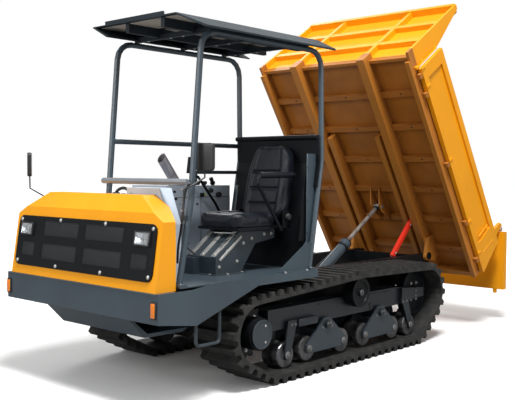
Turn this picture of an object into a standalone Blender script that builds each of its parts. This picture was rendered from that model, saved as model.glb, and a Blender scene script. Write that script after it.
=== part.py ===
# Crawler carrier with a raised tipping bed.
# Metres, +Z up, ground at Z = 0. The machine faces -Y and the driver's side is +X.
# The bed's pieces are written in the bed's own frame: origin on the tipping hinge, bed level.
import math

import bmesh
import bpy
from mathutils import Matrix, Vector

for leftover in list(bpy.data.objects):
    bpy.data.objects.remove(leftover, do_unlink=True)

# Clearances
TOUCH_GAP = 0.0003
RUNNING_GAP = 0.0006
PIN_GAP = 0.0003

# Rubber tracks
TRACK_CENTRE_X = 0.672
TRACK_WIDTH = 0.40
BELT_THICKNESS = 0.025
LUG_HEIGHT = 0.042
LUG_PITCH = 0.10
LUG_ROOT = 0.062
LUG_TIP = 0.034
WHEEL_RADIUS = 0.2127
SPROCKET_Y = -1.445
SPROCKET_Z = 0.402
IDLER_Y = 0.895
IDLER_Z = 0.450
BELT_LIFT = 0.010
BELT_ARC = 0.25
BULGE_Y = -1.225
BULGE_RADIUS = 0.155

# Rollers under and over the track frames
ROLLER_RADIUS = 0.10
ROLLER_HALF = 0.080
ROLLER_GROOVE = 0.030
AXLE_RADIUS = 0.024
FRONT_ROLLER_Y = -1.03
REAR_ROLLER_Y = 0.72
BOGIE_Y = (-0.5405, 0.227)
BOGIE_REACH = 0.2245
BOGIE_PIVOT_Z = 0.344
CARRIER_RADIUS = 0.122
CARRIER_Y = -0.17
CARRIER_HALF = 0.045
CARRIER_X = 0.803
SIDE_PLATE = 0.016
SIDE_PLATE_GAP = 0.0077
BOGIE_PIN_RADIUS = 0.0315

# Track frames
FRAME_HALF_WIDTH = 0.072
FRAME_BOTTOM = 0.37
FRAME_TOP = 0.53
FRAME_FRONT = -1.225
FRAME_REAR = 0.672
AXLE_TUBE_RADIUS = 0.055
AXLE_TUBE_Y = (-0.86, 0.46)
FINAL_DRIVE_RADIUS = 0.117
FINAL_DRIVE_FACE = 0.885

# Chassis
RAIL_OUTER_X = 0.435
RAIL_WIDTH = 0.080
RAIL_BOTTOM = 0.47
RAIL_TOP = 0.735
RAIL_FRONT = -2.26
RAIL_REAR = 1.605

# Deck and front skirt
DECK_HALF_WIDTH = 0.866
DECK_TOP = 0.812
DECK_PLATE = 0.008
DECK_REAR = -0.78
SKIRT_FRONT = -2.41
SKIRT_SHEET = 0.006
SKIRT_BOTTOM = 0.594
SKIRT_TOP = 0.788
TURN_LAMP_Z = 0.684
TURN_LAMP_X = 0.838

# Hood, grille and lamps
HOOD_HALF_WIDTH = 0.83
HOOD_FRONT = -2.397
HOOD_BOTTOM = 0.7885
HOOD_FOLD_Y = -2.322
HOOD_FOLD_Z = 1.29
HOOD_RIDGE_Y = -2.252
HOOD_RIDGE_Z = 1.40
HOOD_RIDGE_HALF = 0.53
HOOD_SHOULDER_Z = 1.235
HOOD_REAR = -2.136
HOOD_SIDE_REAR = -2.222
HOOD_SHEET = 0.004
GRILLE_HALF_WIDTH = 0.79
GRILLE_BOTTOM = 0.853
GRILLE_TOP = 1.225
GRILLE_THICKNESS = 0.010
LAMP_X = 0.665
LAMP_Z = 1.126
LAMP_WIDTH = 0.155
LAMP_HEIGHT = 0.098

# Engine cover and console
COVER_FRONT = -2.132
COVER_REAR = -0.866
COVER_TOP = 1.446
COVER_FAR_X = -0.80
COVER_NEAR_X = 0.0
LOW_COVER_TOP = 1.36
CONSOLE_FAR_X = -0.42
CONSOLE_FRONT = -1.56
COWL_FAR_X = 0.22
COWL_NEAR_X = 0.66
COWL_TOP_X = 0.56
COWL_BEND_Z = 1.20
COWL_REAR = -2.02
COVER_WALL = 0.010

# Canopy
TUBE_RADIUS = 0.0213
HOOP_NEAR_X = 0.822
HOOP_FAR_X = -0.049
FRONT_FOOT_Y = -2.186
FRONT_KNEE_Y = -2.084
FRONT_KNEE_Z = 1.373
FRONT_TOP_Y = -1.992
REAR_FOOT_Y = -0.838
REAR_KNEE_Y = -0.695
REAR_KNEE_Z = 1.65
REAR_TOP_Y = -0.711
HOOP_TOP_Z = 2.49
HOOP_BEND = 0.13
ROOF_NEAR_X = 0.908
ROOF_FAR_X = -0.155
ROOF_FRONT = -2.14
ROOF_REAR = -0.636
ROOF_EDGE_Z = 2.512
ROOF_TOP_Z = 2.597
ROOF_SLOPE = 0.175
ROOF_TUCK = 0.155
ROOF_SHEET = 0.008
UPPER_RAIL_Z = 1.774
LOWER_RAIL_Z = 1.553
FRONT_RAIL_Z = 1.49
FRONT_RAIL_BOW = 0.045
GUARD_TOP = 1.83

# Driver's seat
SEAT_X = 0.44
SEAT_WIDTH = 0.45
SEAT_FRONT = -1.478
CUSHION_LENGTH = 0.474
CUSHION_BOTTOM = 1.147
CUSHION_THICKNESS = 0.105
BACK_HEIGHT = 0.60
BACK_THICKNESS = 0.105
BACK_LEAN = math.radians(13)
BACK_PIVOT_Y = -0.940
BACK_PIVOT_Z = 1.215
SEAT_PAN = 0.022
ARMREST_X = 0.695
ARMREST_PIVOT = (-0.863, 1.535)

# Tipping bed, in its own frame: distance ahead of the hinge and height above it
BED_TILT = math.radians(57)
BED_HINGE_Y = 1.547
BED_HINGE_Z = 0.717
BED_HALF_WIDTH = 0.874
FLOOR_FRONT = 2.10
FLOOR_REAR = -0.30
FLOOR_TOP = 0.206
FLOOR_SHEET = 0.008
SILL_BOTTOM = 0.083
SILL_WIDTH = 0.045
CROSS_BOTTOM = 0.150
CROSS_WIDTH = 0.055
CROSS_COUNT = 6
CROSS_PITCH = 0.353
BED_RAIL_X = 0.395
BED_RAIL_WIDTH = 0.080
BED_RAIL_BOTTOM = 0.060
INNER_RAIL_X = 0.285
INNER_RAIL_WIDTH = 0.050
INNER_RAIL_FRONT = 1.36
HEAD_FRONT = 2.18
HEAD_SHEET_FRONT = 2.125
HEAD_TOP = 1.125
HEAD_HALF_WIDTH = 0.860
HINGE_PIN_RADIUS = 0.0235
ARM_WIDTH = 0.036

# Side gates and tailgate
GATE_BOTTOM = 0.172
GATE_TOP = 0.595
GATE_FRONT = 1.985
GATE_REAR_LOW = -0.300
GATE_OUTER_X = 0.922
GATE_THICKNESS = 0.038
GATE_HINGE_DROP = 0.022
TAIL_HINGE_AHEAD = -0.215
TAIL_HINGE_UP = 0.800
TAIL_LEAN = math.radians(10)
TAIL_LENGTH = 0.635
TAIL_THICKNESS = 0.035
TAIL_HALF_WIDTH = 0.915
POST_WIDTH = 0.060
POST_THICKNESS = 0.036
TAIL_EAR = 0.024

# Tipping ram, safety prop
EYE_AHEAD = 0.535
EYE_UP = 0.085
RAM_FOOT_Y = 0.264
RAM_FOOT_Z = 0.547
BARREL_LENGTH = 0.60
BARREL_RADIUS = 0.048
ROD_RADIUS = 0.021
RAM_PLATE_X = 0.045
RAM_PLATE = 0.012
PROP_AHEAD = 0.365
PROP_UP = 0.100
PROP_LENGTH = 0.484
PROP_FALL = math.radians(45)
PROP_DEPTH = 0.036

# Mirrors and step
MIRROR_WIDTH = 0.145
MIRROR_HEIGHT = 0.185
MIRROR_DEPTH = 0.030
MIRROR_ROD = 0.006
STEP_FRONT = -2.06
STEP_REAR = -1.84
STEP_BOTTOM = 0.405
STEP_RADIUS = 0.012

ROUND_SIDES = 16
FINE_SIDES = 24

carrier = bpy.data.collections.new("crawler_carrier")
weld_tools = bpy.data.collections.new("cutters")
bpy.context.scene.collection.children.link(carrier)
bpy.context.scene.collection.children.link(weld_tools)
weld_tools.hide_render = True


def material(name, colour, roughness, metallic):
    paint = bpy.data.materials.new(name)
    paint.use_nodes = True
    shader = paint.node_tree.nodes["Principled BSDF"]
    shader.inputs["Base Color"].default_value = (*colour, 1.0)
    shader.inputs["Roughness"].default_value = roughness
    shader.inputs["Metallic"].default_value = metallic
    return paint


YELLOW = material("yellow paint", (0.90, 0.47, 0.01), 0.38, 0.0)
SLATE = material("slate paint", (0.085, 0.115, 0.140), 0.45, 0.0)
DARK = material("dark paint", (0.020, 0.026, 0.030), 0.50, 0.0)
RUBBER = material("black rubber", (0.025, 0.025, 0.025), 0.85, 0.0)
VINYL = material("black vinyl", (0.015, 0.018, 0.025), 0.45, 0.0)
PALE = material("pale grey plastic", (0.52, 0.60, 0.70), 0.45, 0.0)
RED = material("red paint", (0.80, 0.03, 0.01), 0.40, 0.0)
STEEL = material("bare steel", (0.45, 0.46, 0.47), 0.30, 1.0)
LAMP_GLASS = material("lamp lens", (0.85, 0.88, 0.90), 0.08, 0.0)
AMBER = material("amber lens", (0.95, 0.22, 0.01), 0.15, 0.0)


# An empty on the tipping hinge carries the raised bed.
bed_hinge = bpy.data.objects.new("bed_hinge", None)
bed_hinge.location = (0.0, BED_HINGE_Y, BED_HINGE_Z)
bed_hinge.rotation_euler = (-BED_TILT, 0.0, 0.0)
carrier.objects.link(bed_hinge)


def place(name, mesh, paint, origin=(0, 0, 0), parent=None, collection=carrier):
    """Makes an object whose mesh, given in its parent's frame, is kept about the origin."""
    mesh.transform(Matrix.Translation(-Vector(origin)))
    mesh.materials.append(paint)
    piece = bpy.data.objects.new(name, mesh)
    piece.location = origin
    piece.parent = parent
    collection.objects.link(piece)
    return piece


def mesh_of(shape, name="shape"):
    mesh = bpy.data.meshes.new(name)
    bmesh.ops.recalc_face_normals(shape, faces=shape.faces)
    shape.to_mesh(mesh)
    shape.free()
    return mesh


def block(x_span, y_span, z_span):
    """A box between pairs of limits."""
    shape = bmesh.new()
    sizes = [abs(b - a) for a, b in (x_span, y_span, z_span)]
    middle = [(a + b) / 2 for a, b in (x_span, y_span, z_span)]
    bmesh.ops.create_cube(shape, size=1.0)
    bmesh.ops.scale(shape, vec=sizes, verts=shape.verts)
    bmesh.ops.translate(shape, vec=middle, verts=shape.verts)
    return mesh_of(shape)


def rod_x(radius, x_span, y, z, sides=ROUND_SIDES):
    """A round bar along X."""
    shape = bmesh.new()
    length = abs(x_span[1] - x_span[0])
    bmesh.ops.create_cone(
        shape, cap_ends=True, segments=sides, radius1=radius, radius2=radius, depth=length
    )
    bmesh.ops.rotate(shape, cent=(0, 0, 0), matrix=Matrix.Rotation(math.pi / 2, 3, "Y"), verts=shape.verts)
    bmesh.ops.translate(shape, vec=((x_span[0] + x_span[1]) / 2, y, z), verts=shape.verts)
    return mesh_of(shape)


def bar(start, end, radius, sides=ROUND_SIDES):
    """A round bar between two points."""
    start, end = Vector(start), Vector(end)
    shape = bmesh.new()
    bmesh.ops.create_cone(
        shape, cap_ends=True, segments=sides, radius1=radius, radius2=radius, depth=(end - start).length
    )
    turn = Vector((0, 0, 1)).rotation_difference(end - start).to_matrix()
    bmesh.ops.rotate(shape, cent=(0, 0, 0), matrix=turn, verts=shape.verts)
    bmesh.ops.translate(shape, vec=(start + end) / 2, verts=shape.verts)
    return mesh_of(shape)


def mesh_from_curve(curve, turn=None):
    """The curve's evaluated surface as one welded mesh."""
    guide = bpy.data.objects.new("guide", curve)
    weld_tools.objects.link(guide)
    graph = bpy.context.evaluated_depsgraph_get()
    mesh = bpy.data.meshes.new_from_object(guide.evaluated_get(graph))
    bpy.data.objects.remove(guide, do_unlink=True)
    if turn is not None:
        mesh.transform(turn)
    shape = bmesh.new()
    shape.from_mesh(mesh)
    bmesh.ops.remove_doubles(shape, verts=shape.verts, dist=0.00002)
    bmesh.ops.recalc_face_normals(shape, faces=shape.faces)
    shape.to_mesh(mesh)
    shape.free()
    return mesh


def slab(outlines, thickness, turn):
    """A flat plate cut to closed outlines, the later ones being holes in the first."""
    curve = bpy.data.curves.new("outline", "CURVE")
    curve.dimensions = "2D"
    curve.fill_mode = "BOTH"
    curve.extrude = thickness / 2
    for outline in outlines:
        line = curve.splines.new("POLY")
        line.points.add(len(outline) - 1)
        for point, (u, v) in zip(line.points, outline):
            point.co = (u, v, 0.0, 1.0)
        line.use_cyclic_u = True
    return mesh_from_curve(curve, turn)


def side_plate(outline, x_span, holes=()):
    """A plate seen from the side: its outline is in (Y, Z) and it is thick along X."""
    turn = Matrix(((0, 0, 1, (x_span[0] + x_span[1]) / 2), (1, 0, 0, 0), (0, 1, 0, 0), (0, 0, 0, 1)))
    return slab([outline, *holes], abs(x_span[1] - x_span[0]), turn)


def front_plate(outline, y_span, holes=()):
    """A plate seen from the front: its outline is in (X, Z) and it is thick along Y."""
    turn = Matrix(((1, 0, 0, 0), (0, 0, -1, (y_span[0] + y_span[1]) / 2), (0, 1, 0, 0), (0, 0, 0, 1)))
    return slab([outline, *holes], abs(y_span[1] - y_span[0]), turn)


def circle(y, z, radius, sides=ROUND_SIDES):
    step = 2 * math.pi / sides
    return [(y + radius * math.cos(i * step), z + radius * math.sin(i * step)) for i in range(sides)]


def rounded(points, bend, steps=4):
    """The points of an open path with an arc of radius bend at each inner corner."""
    path = [Vector(points[0])]
    for before, corner, after in zip(points, points[1:], points[2:]):
        before, corner, after = Vector(before), Vector(corner), Vector(after)
        back = (before - corner).normalized()
        ahead = (after - corner).normalized()
        half = back.angle(ahead) / 2
        reach = min(bend / math.tan(half), (before - corner).length * 0.45, (after - corner).length * 0.45)
        radius = reach * math.tan(half)
        centre = corner + (back + ahead).normalized() * (radius / math.sin(half))
        start = corner + back * reach - centre
        end = corner + ahead * reach - centre
        sweep = start.angle(end)
        for i in range(steps + 1):
            t = i / steps
            spoke = start * math.sin((1 - t) * sweep) + end * math.sin(t * sweep)
            path.append(centre + spoke / math.sin(sweep))
    path.append(Vector(points[-1]))
    return path


def tube(points, radius, bend=0.0, resolution=2):
    """A round tube along a path, with its corners bent to a radius."""
    path = rounded(points, bend) if bend else [Vector(p) for p in points]
    curve = bpy.data.curves.new("tube", "CURVE")
    curve.dimensions = "3D"
    curve.bevel_depth = radius
    curve.bevel_resolution = resolution
    curve.use_fill_caps = True
    line = curve.splines.new("POLY")
    line.points.add(len(path) - 1)
    for point, spot in zip(line.points, path):
        point.co = (*spot, 1.0)
    return mesh_from_curve(curve)


def turned(name, profile, paint, origin, sides=FINE_SIDES, parent=None):
    """A piece turned about its own X axis. The profile's (radius, X) points run from +X to -X."""
    mesh = bpy.data.meshes.new(name)
    mesh.from_pydata([(r, 0.0, x) for r, x in profile], [(i, i + 1) for i in range(len(profile) - 1)], [])
    piece = place(name, mesh, paint)
    screw = piece.modifiers.new("turn", "SCREW")
    screw.axis = "Z"
    screw.steps = sides
    screw.render_steps = sides
    screw.use_merge_vertices = True
    screw.merge_threshold = 0.00001
    piece.rotation_euler = (0.0, math.pi / 2, 0.0)
    piece.location = origin
    piece.parent = parent
    return piece


def tool_list(name):
    tools = bpy.data.collections.new(name)
    tools.hide_render = True
    weld_tools.children.link(tools)
    return tools


def combine(piece, meshes, operation, label=""):
    """Welds meshes to a piece, or cuts them from it. They are given in the frame of its parent."""
    label = label or operation.lower()
    tools = tool_list(piece.name + " " + label)
    paint = piece.data.materials[0]
    for mesh in meshes:
        tool = place(piece.name + " tool", mesh, paint, parent=piece.parent, collection=tools)
        tool.hide_render = True
        tool.display_type = "WIRE"
    boolean = piece.modifiers.new(label, "BOOLEAN")
    boolean.operation = operation
    boolean.operand_type = "COLLECTION"
    boolean.collection = tools
    boolean.solver = "EXACT"
    return piece


def weld(piece, meshes):
    return combine(piece, meshes, "UNION")


def weld_more(piece, meshes):
    """A second weld on the same piece."""
    return combine(piece, meshes, "UNION", "second union")


def cut(piece, meshes):
    return combine(piece, meshes, "DIFFERENCE")


def mirrored(x_span, side):
    return tuple(side * x for x in x_span)


# The belt is a closed loop round the sprocket, the rollers and the idler.
def belt_wheels():
    """Centre of each wheel that the belt passes round, and a radius that keeps its flats clear.
    The stiff belt bulges ahead of the front roller, as if round a wheel of its own."""
    spread = 1 / math.cos(BELT_ARC / 2)
    wheel = (WHEEL_RADIUS + TOUCH_GAP) * spread
    skid = (ROLLER_RADIUS + TOUCH_GAP) * spread
    return [
        (SPROCKET_Y, SPROCKET_Z, wheel),
        (BULGE_Y, LUG_HEIGHT + BELT_THICKNESS + BULGE_RADIUS, BULGE_RADIUS),
        (REAR_ROLLER_Y, LUG_HEIGHT + BELT_THICKNESS + skid, skid),
        (IDLER_Y, IDLER_Z, wheel),
        (CARRIER_Y, carrier_z(), (CARRIER_RADIUS + TOUCH_GAP) * spread),
    ]


def carrier_z():
    """The carrier roller lifts the belt a little over the line between sprocket and idler."""
    share = (CARRIER_Y - SPROCKET_Y) / (IDLER_Y - SPROCKET_Y)
    line = SPROCKET_Z + share * (IDLER_Z - SPROCKET_Z) + WHEEL_RADIUS
    return line + 4.5 * BELT_LIFT - CARRIER_RADIUS


def belt_path(offset, arc=BELT_ARC):
    """Points of the loop that lies offset outside the belt's inner face."""
    wheels = [(Vector((y, z)), radius + offset) for y, z, radius in belt_wheels()]
    touches = []
    for (first, r1), (second, r2) in zip(wheels, wheels[1:] + wheels[:1]):
        along = second - first
        lean = math.asin((r1 - r2) / along.length)
        normal_angle = math.atan2(along.y, along.x) - math.pi / 2 + lean
        normal = Vector((math.cos(normal_angle), math.sin(normal_angle)))
        touches.append((first + normal * r1, second + normal * r2, normal_angle))
    path = []
    for i, (centre, radius) in enumerate(wheels):
        arrive = touches[i - 1][2]
        leave = touches[i][2]
        sweep = (leave - arrive) % (2 * math.pi)
        if sweep > 1.9 * math.pi:
            sweep = 0.0
        steps = max(1, math.ceil(sweep / arc))
        for k in range(steps + 1):
            angle = arrive + sweep * k / steps
            path.append(centre + radius * Vector((math.cos(angle), math.sin(angle))))
    return path


def along_loop(path, distance):
    """Position and outward direction at a distance along a closed path."""
    for a, b in zip(path, path[1:] + path[:1]):
        span = (b - a).length
        if distance <= span and span > 0:
            ahead = (b - a) / span
            return a + ahead * distance, Vector((ahead.y, -ahead.x))
        distance -= span
    return along_loop(path, 0.0)


def lugged_outline():
    """The belt's outer edge seen from the side, with its rubber lugs."""
    path = belt_path(BELT_THICKNESS, BELT_ARC / 3)
    loop = sum((b - a).length for a, b in zip(path, path[1:] + path[:1]))
    count = round(loop / LUG_PITCH)
    pitch = loop / count
    outline = []
    for i in range(count):
        start = (i + 0.5) * pitch
        for shift, height in (
            (-LUG_ROOT / 2, 0.0),
            (-LUG_TIP / 2, LUG_HEIGHT),
            (LUG_TIP / 2, LUG_HEIGHT),
            (LUG_ROOT / 2, 0.0),
        ):
            spot, outward = along_loop(path, start + shift)
            outline.append(tuple(spot + outward * height))
    return outline


def track(name, side):
    edges = mirrored((TRACK_CENTRE_X - TRACK_WIDTH / 2, TRACK_CENTRE_X + TRACK_WIDTH / 2), side)
    inner = [tuple(point) for point in belt_path(0.0)]
    return place(name, side_plate(lugged_outline(), edges, [inner]), RUBBER)


def roller_z():
    """Axle height of the rollers that hang from the track frame itself."""
    return LUG_HEIGHT + BELT_THICKNESS + (TOUCH_GAP + ROLLER_RADIUS) / math.cos(BELT_ARC / 2)


def bogie_roller_z():
    """The rocking rollers stand a little over the belt so that they can tip."""
    return roller_z() + BELT_LIFT


def plate_reach():
    """X limits of a pair of axle plates, outside to outside, on the left."""
    outer = ROLLER_HALF + SIDE_PLATE_GAP + TOUCH_GAP + SIDE_PLATE
    return (TRACK_CENTRE_X - outer, TRACK_CENTRE_X + outer)


def plate_spans(side):
    """X limits of the two plates that hold an axle, outer plate first."""
    inner = ROLLER_HALF + SIDE_PLATE_GAP + TOUCH_GAP
    outer = inner + SIDE_PLATE
    return (
        mirrored((TRACK_CENTRE_X + inner, TRACK_CENTRE_X + outer), side),
        mirrored((TRACK_CENTRE_X - outer, TRACK_CENTRE_X - inner), side),
    )


def roller(name, side, y, z):
    """A flanged track roller on its axle."""
    half = ROLLER_HALF
    axle = half + SIDE_PLATE_GAP
    tread = [
        (0.0, axle),
        (AXLE_RADIUS, axle),
        (AXLE_RADIUS + 0.012, half),
        (ROLLER_RADIUS - 0.006, half),
        (ROLLER_RADIUS, half - 0.008),
        (ROLLER_RADIUS, ROLLER_GROOVE),
        (ROLLER_RADIUS * 0.70, ROLLER_GROOVE),
    ]
    profile = tread + [(r, -x) for r, x in reversed(tread)]
    return turned(name, profile, STEEL, (side * TRACK_CENTRE_X, y, z), sides=14)


def carrier_roller(name, side):
    """The roller that carries the belt's upper run."""
    half = CARRIER_HALF
    profile = [
        (0.0, half + 0.004),
        (0.030, half + 0.004),
        (0.034, half - 0.012),
        (CARRIER_RADIUS * 0.72, half - 0.012),
        (CARRIER_RADIUS * 0.80, half),
        (CARRIER_RADIUS, half),
        (CARRIER_RADIUS, -half),
        (0.035, -half),
        (0.035, frame_face() + TOUCH_GAP - CARRIER_X),
        (0.0, frame_face() + TOUCH_GAP - CARRIER_X),
    ]
    if side < 0:
        profile = [(r, -x) for r, x in reversed(profile)]
    return turned(name, profile, DARK, (side * CARRIER_X, CARRIER_Y, carrier_z()), sides=20)


def frame_face():
    """X of the track frame's outer face."""
    return TRACK_CENTRE_X + FRAME_HALF_WIDTH


def drive_sprocket(name, side):
    """Toothed ring with the round cover of its final drive."""
    teeth = 17
    ring = []
    for i in range(teeth):
        middle = 2 * math.pi * i / teeth
        for shift, radius in ((-0.30, 0.88), (-0.15, 1.0), (0.15, 1.0), (0.30, 0.88)):
            angle = middle + shift * 2 * math.pi / teeth
            ring.append(
                (
                    SPROCKET_Y + WHEEL_RADIUS * radius * math.cos(angle),
                    SPROCKET_Z + WHEEL_RADIUS * radius * math.sin(angle),
                )
            )
    half = 0.030
    spans = mirrored((TRACK_CENTRE_X - half, TRACK_CENTRE_X + half), side)
    origin = (side * TRACK_CENTRE_X, SPROCKET_Y, SPROCKET_Z)
    wheel = place(name, side_plate(ring, spans), DARK, origin)
    cover = rod_x(
        FINAL_DRIVE_RADIUS,
        mirrored((TRACK_CENTRE_X, FINAL_DRIVE_FACE - 0.014), side),
        SPROCKET_Y,
        SPROCKET_Z,
        FINE_SIDES,
    )
    lid = rod_x(
        FINAL_DRIVE_RADIUS - 0.012,
        mirrored((TRACK_CENTRE_X, FINAL_DRIVE_FACE), side),
        SPROCKET_Y,
        SPROCKET_Z,
        FINE_SIDES,
    )
    return weld(wheel, [cover, lid])


def idler(name, side):
    """The smooth wheel that tightens the belt at the back."""
    half = 0.038
    axle = ROLLER_HALF + SIDE_PLATE_GAP
    rim = [
        (0.0, axle),
        (0.030, axle),
        (0.045, half + 0.014),
        (0.060, half - 0.014),
        (WHEEL_RADIUS * 0.80, half - 0.014),
        (WHEEL_RADIUS * 0.84, half),
        (WHEEL_RADIUS, half),
    ]
    profile = rim + [(r, -x) for r, x in reversed(rim)]
    return turned(name, profile, DARK, (side * TRACK_CENTRE_X, IDLER_Y, IDLER_Z), sides=FINE_SIDES)


def bogie(name, side, y):
    """A pair of side plates that rocks on the track frame and holds two rollers."""
    z = bogie_roller_z()
    foot = 0.036
    outline = [
        (y - BOGIE_REACH - foot, z - foot * 0.6),
        (y - BOGIE_REACH + foot * 0.6, z - foot),
        (y + BOGIE_REACH - foot * 0.6, z - foot),
        (y + BOGIE_REACH + foot, z - foot * 0.6),
        (y + BOGIE_REACH + foot, z + foot * 0.8),
        (y + 0.075, BOGIE_PIVOT_Z + 0.020),
        (y + 0.040, BOGIE_PIVOT_Z + 0.055),
        (y - 0.040, BOGIE_PIVOT_Z + 0.055),
        (y - 0.075, BOGIE_PIVOT_Z + 0.020),
        (y - BOGIE_REACH - foot, z + foot * 0.8),
    ]
    hole = circle(y, BOGIE_PIVOT_Z, BOGIE_PIN_RADIUS + PIN_GAP, FINE_SIDES)
    outer, inner = plate_spans(side)
    piece = place(name, side_plate(outline, outer, [hole]), SLATE, (0, y, BOGIE_PIVOT_Z))
    middle = (plate_reach()[0] + 0.002, plate_reach()[1] - 0.002)
    tie = block(mirrored(middle, side), (y - 0.085, y + 0.085), (z - 0.025, z + 0.075))
    return weld(piece, [side_plate(outline, inner, [hole]), tie])


def hanger(side, y, z, top_span):
    """Plates that hang a single roller from the track frame."""
    foot = 0.034
    outline = [
        (y - foot, z),
        (y - foot * 0.5, z - foot),
        (y + foot * 0.5, z - foot),
        (y + foot, z),
        (top_span[1], FRAME_BOTTOM + 0.06),
        (top_span[0], FRAME_BOTTOM + 0.06),
    ]
    outer, inner = plate_spans(side)
    cap = block(
        mirrored(plate_reach(), side),
        (top_span[0] + 0.004, top_span[1] - 0.004),
        (FRAME_BOTTOM + 0.010, FRAME_BOTTOM + 0.052),
    )
    return [side_plate(outline, outer), side_plate(outline, inner), cap]


def track_frame(name, side):
    """Box beam with the roller hangers, bogie pins, idler yoke and drive motor housing."""
    face = mirrored((TRACK_CENTRE_X - FRAME_HALF_WIDTH, frame_face()), side)
    outline = [
        (FRAME_FRONT, FRAME_BOTTOM + 0.03),
        (FRAME_FRONT + 0.04, FRAME_BOTTOM),
        (FRAME_REAR, FRAME_BOTTOM),
        (FRAME_REAR, FRAME_TOP - 0.02),
        (FRAME_REAR - 0.15, FRAME_TOP),
        (FRAME_FRONT, FRAME_TOP),
    ]
    beam = place(name, side_plate(outline, face), SLATE)
    pieces = []
    pieces += hanger(side, FRONT_ROLLER_Y, roller_z(), (FRONT_ROLLER_Y + 0.005, FRONT_ROLLER_Y + 0.115))
    pieces += hanger(side, REAR_ROLLER_Y, roller_z(), (FRAME_REAR - 0.11, FRAME_REAR - 0.002))
    outer, inner = plate_spans(side)
    pin_reach = (plate_reach()[0] - 0.006, plate_reach()[1] + 0.022)
    for y in BOGIE_Y:
        pieces.append(rod_x(BOGIE_PIN_RADIUS, mirrored(pin_reach, side), y, BOGIE_PIVOT_Z, FINE_SIDES))
        pieces.append(
            block(
                mirrored((TRACK_CENTRE_X - 0.060, TRACK_CENTRE_X + 0.060), side),
                (y - 0.055, y + 0.055),
                (BOGIE_PIVOT_Z - 0.045, FRAME_BOTTOM + 0.02),
            )
        )
    yoke = [
        (FRAME_REAR - 0.10, FRAME_BOTTOM + 0.03),
        (IDLER_Y + 0.045, IDLER_Z - 0.040),
        (IDLER_Y + 0.045, IDLER_Z + 0.040),
        (FRAME_REAR - 0.10, FRAME_TOP - 0.01),
    ]
    pieces += [side_plate(yoke, outer), side_plate(yoke, inner)]
    rib = (FRAME_REAR - 0.095, FRAME_REAR - 0.068)
    pieces.append(block(mirrored(plate_reach(), side), rib, (0.41, 0.50)))
    housing = (TRACK_CENTRE_X - 0.19, TRACK_CENTRE_X - 0.030 - TOUCH_GAP)
    pieces.append(rod_x(0.098, mirrored(housing, side), SPROCKET_Y, SPROCKET_Z, 20))
    arm = [
        (SPROCKET_Y - 0.03, SPROCKET_Z - 0.06),
        (FRAME_FRONT + 0.12, FRAME_BOTTOM + 0.012),
        (FRAME_FRONT + 0.12, FRAME_TOP - 0.012),
        (SPROCKET_Y - 0.03, SPROCKET_Z + 0.07),
    ]
    arm_span = (TRACK_CENTRE_X - FRAME_HALF_WIDTH - 0.022, TRACK_CENTRE_X - FRAME_HALF_WIDTH + 0.020)
    pieces.append(side_plate(arm, mirrored(arm_span, side)))
    for y in AXLE_TUBE_Y:
        span = (RAIL_OUTER_X + TOUCH_GAP, TRACK_CENTRE_X - 0.02)
        pieces.append(rod_x(AXLE_TUBE_RADIUS, mirrored(span, side), y, (FRAME_BOTTOM + FRAME_TOP) / 2 + 0.03))
    boss = [
        (CARRIER_Y - 0.075, FRAME_TOP - 0.03),
        (CARRIER_Y + 0.075, FRAME_TOP - 0.03),
        (CARRIER_Y + 0.045, carrier_z() + 0.045),
        (CARRIER_Y - 0.045, carrier_z() + 0.045),
    ]
    pieces.append(side_plate(boss, mirrored((frame_face() - 0.05, frame_face()), side)))
    return weld(beam, pieces)


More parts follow.
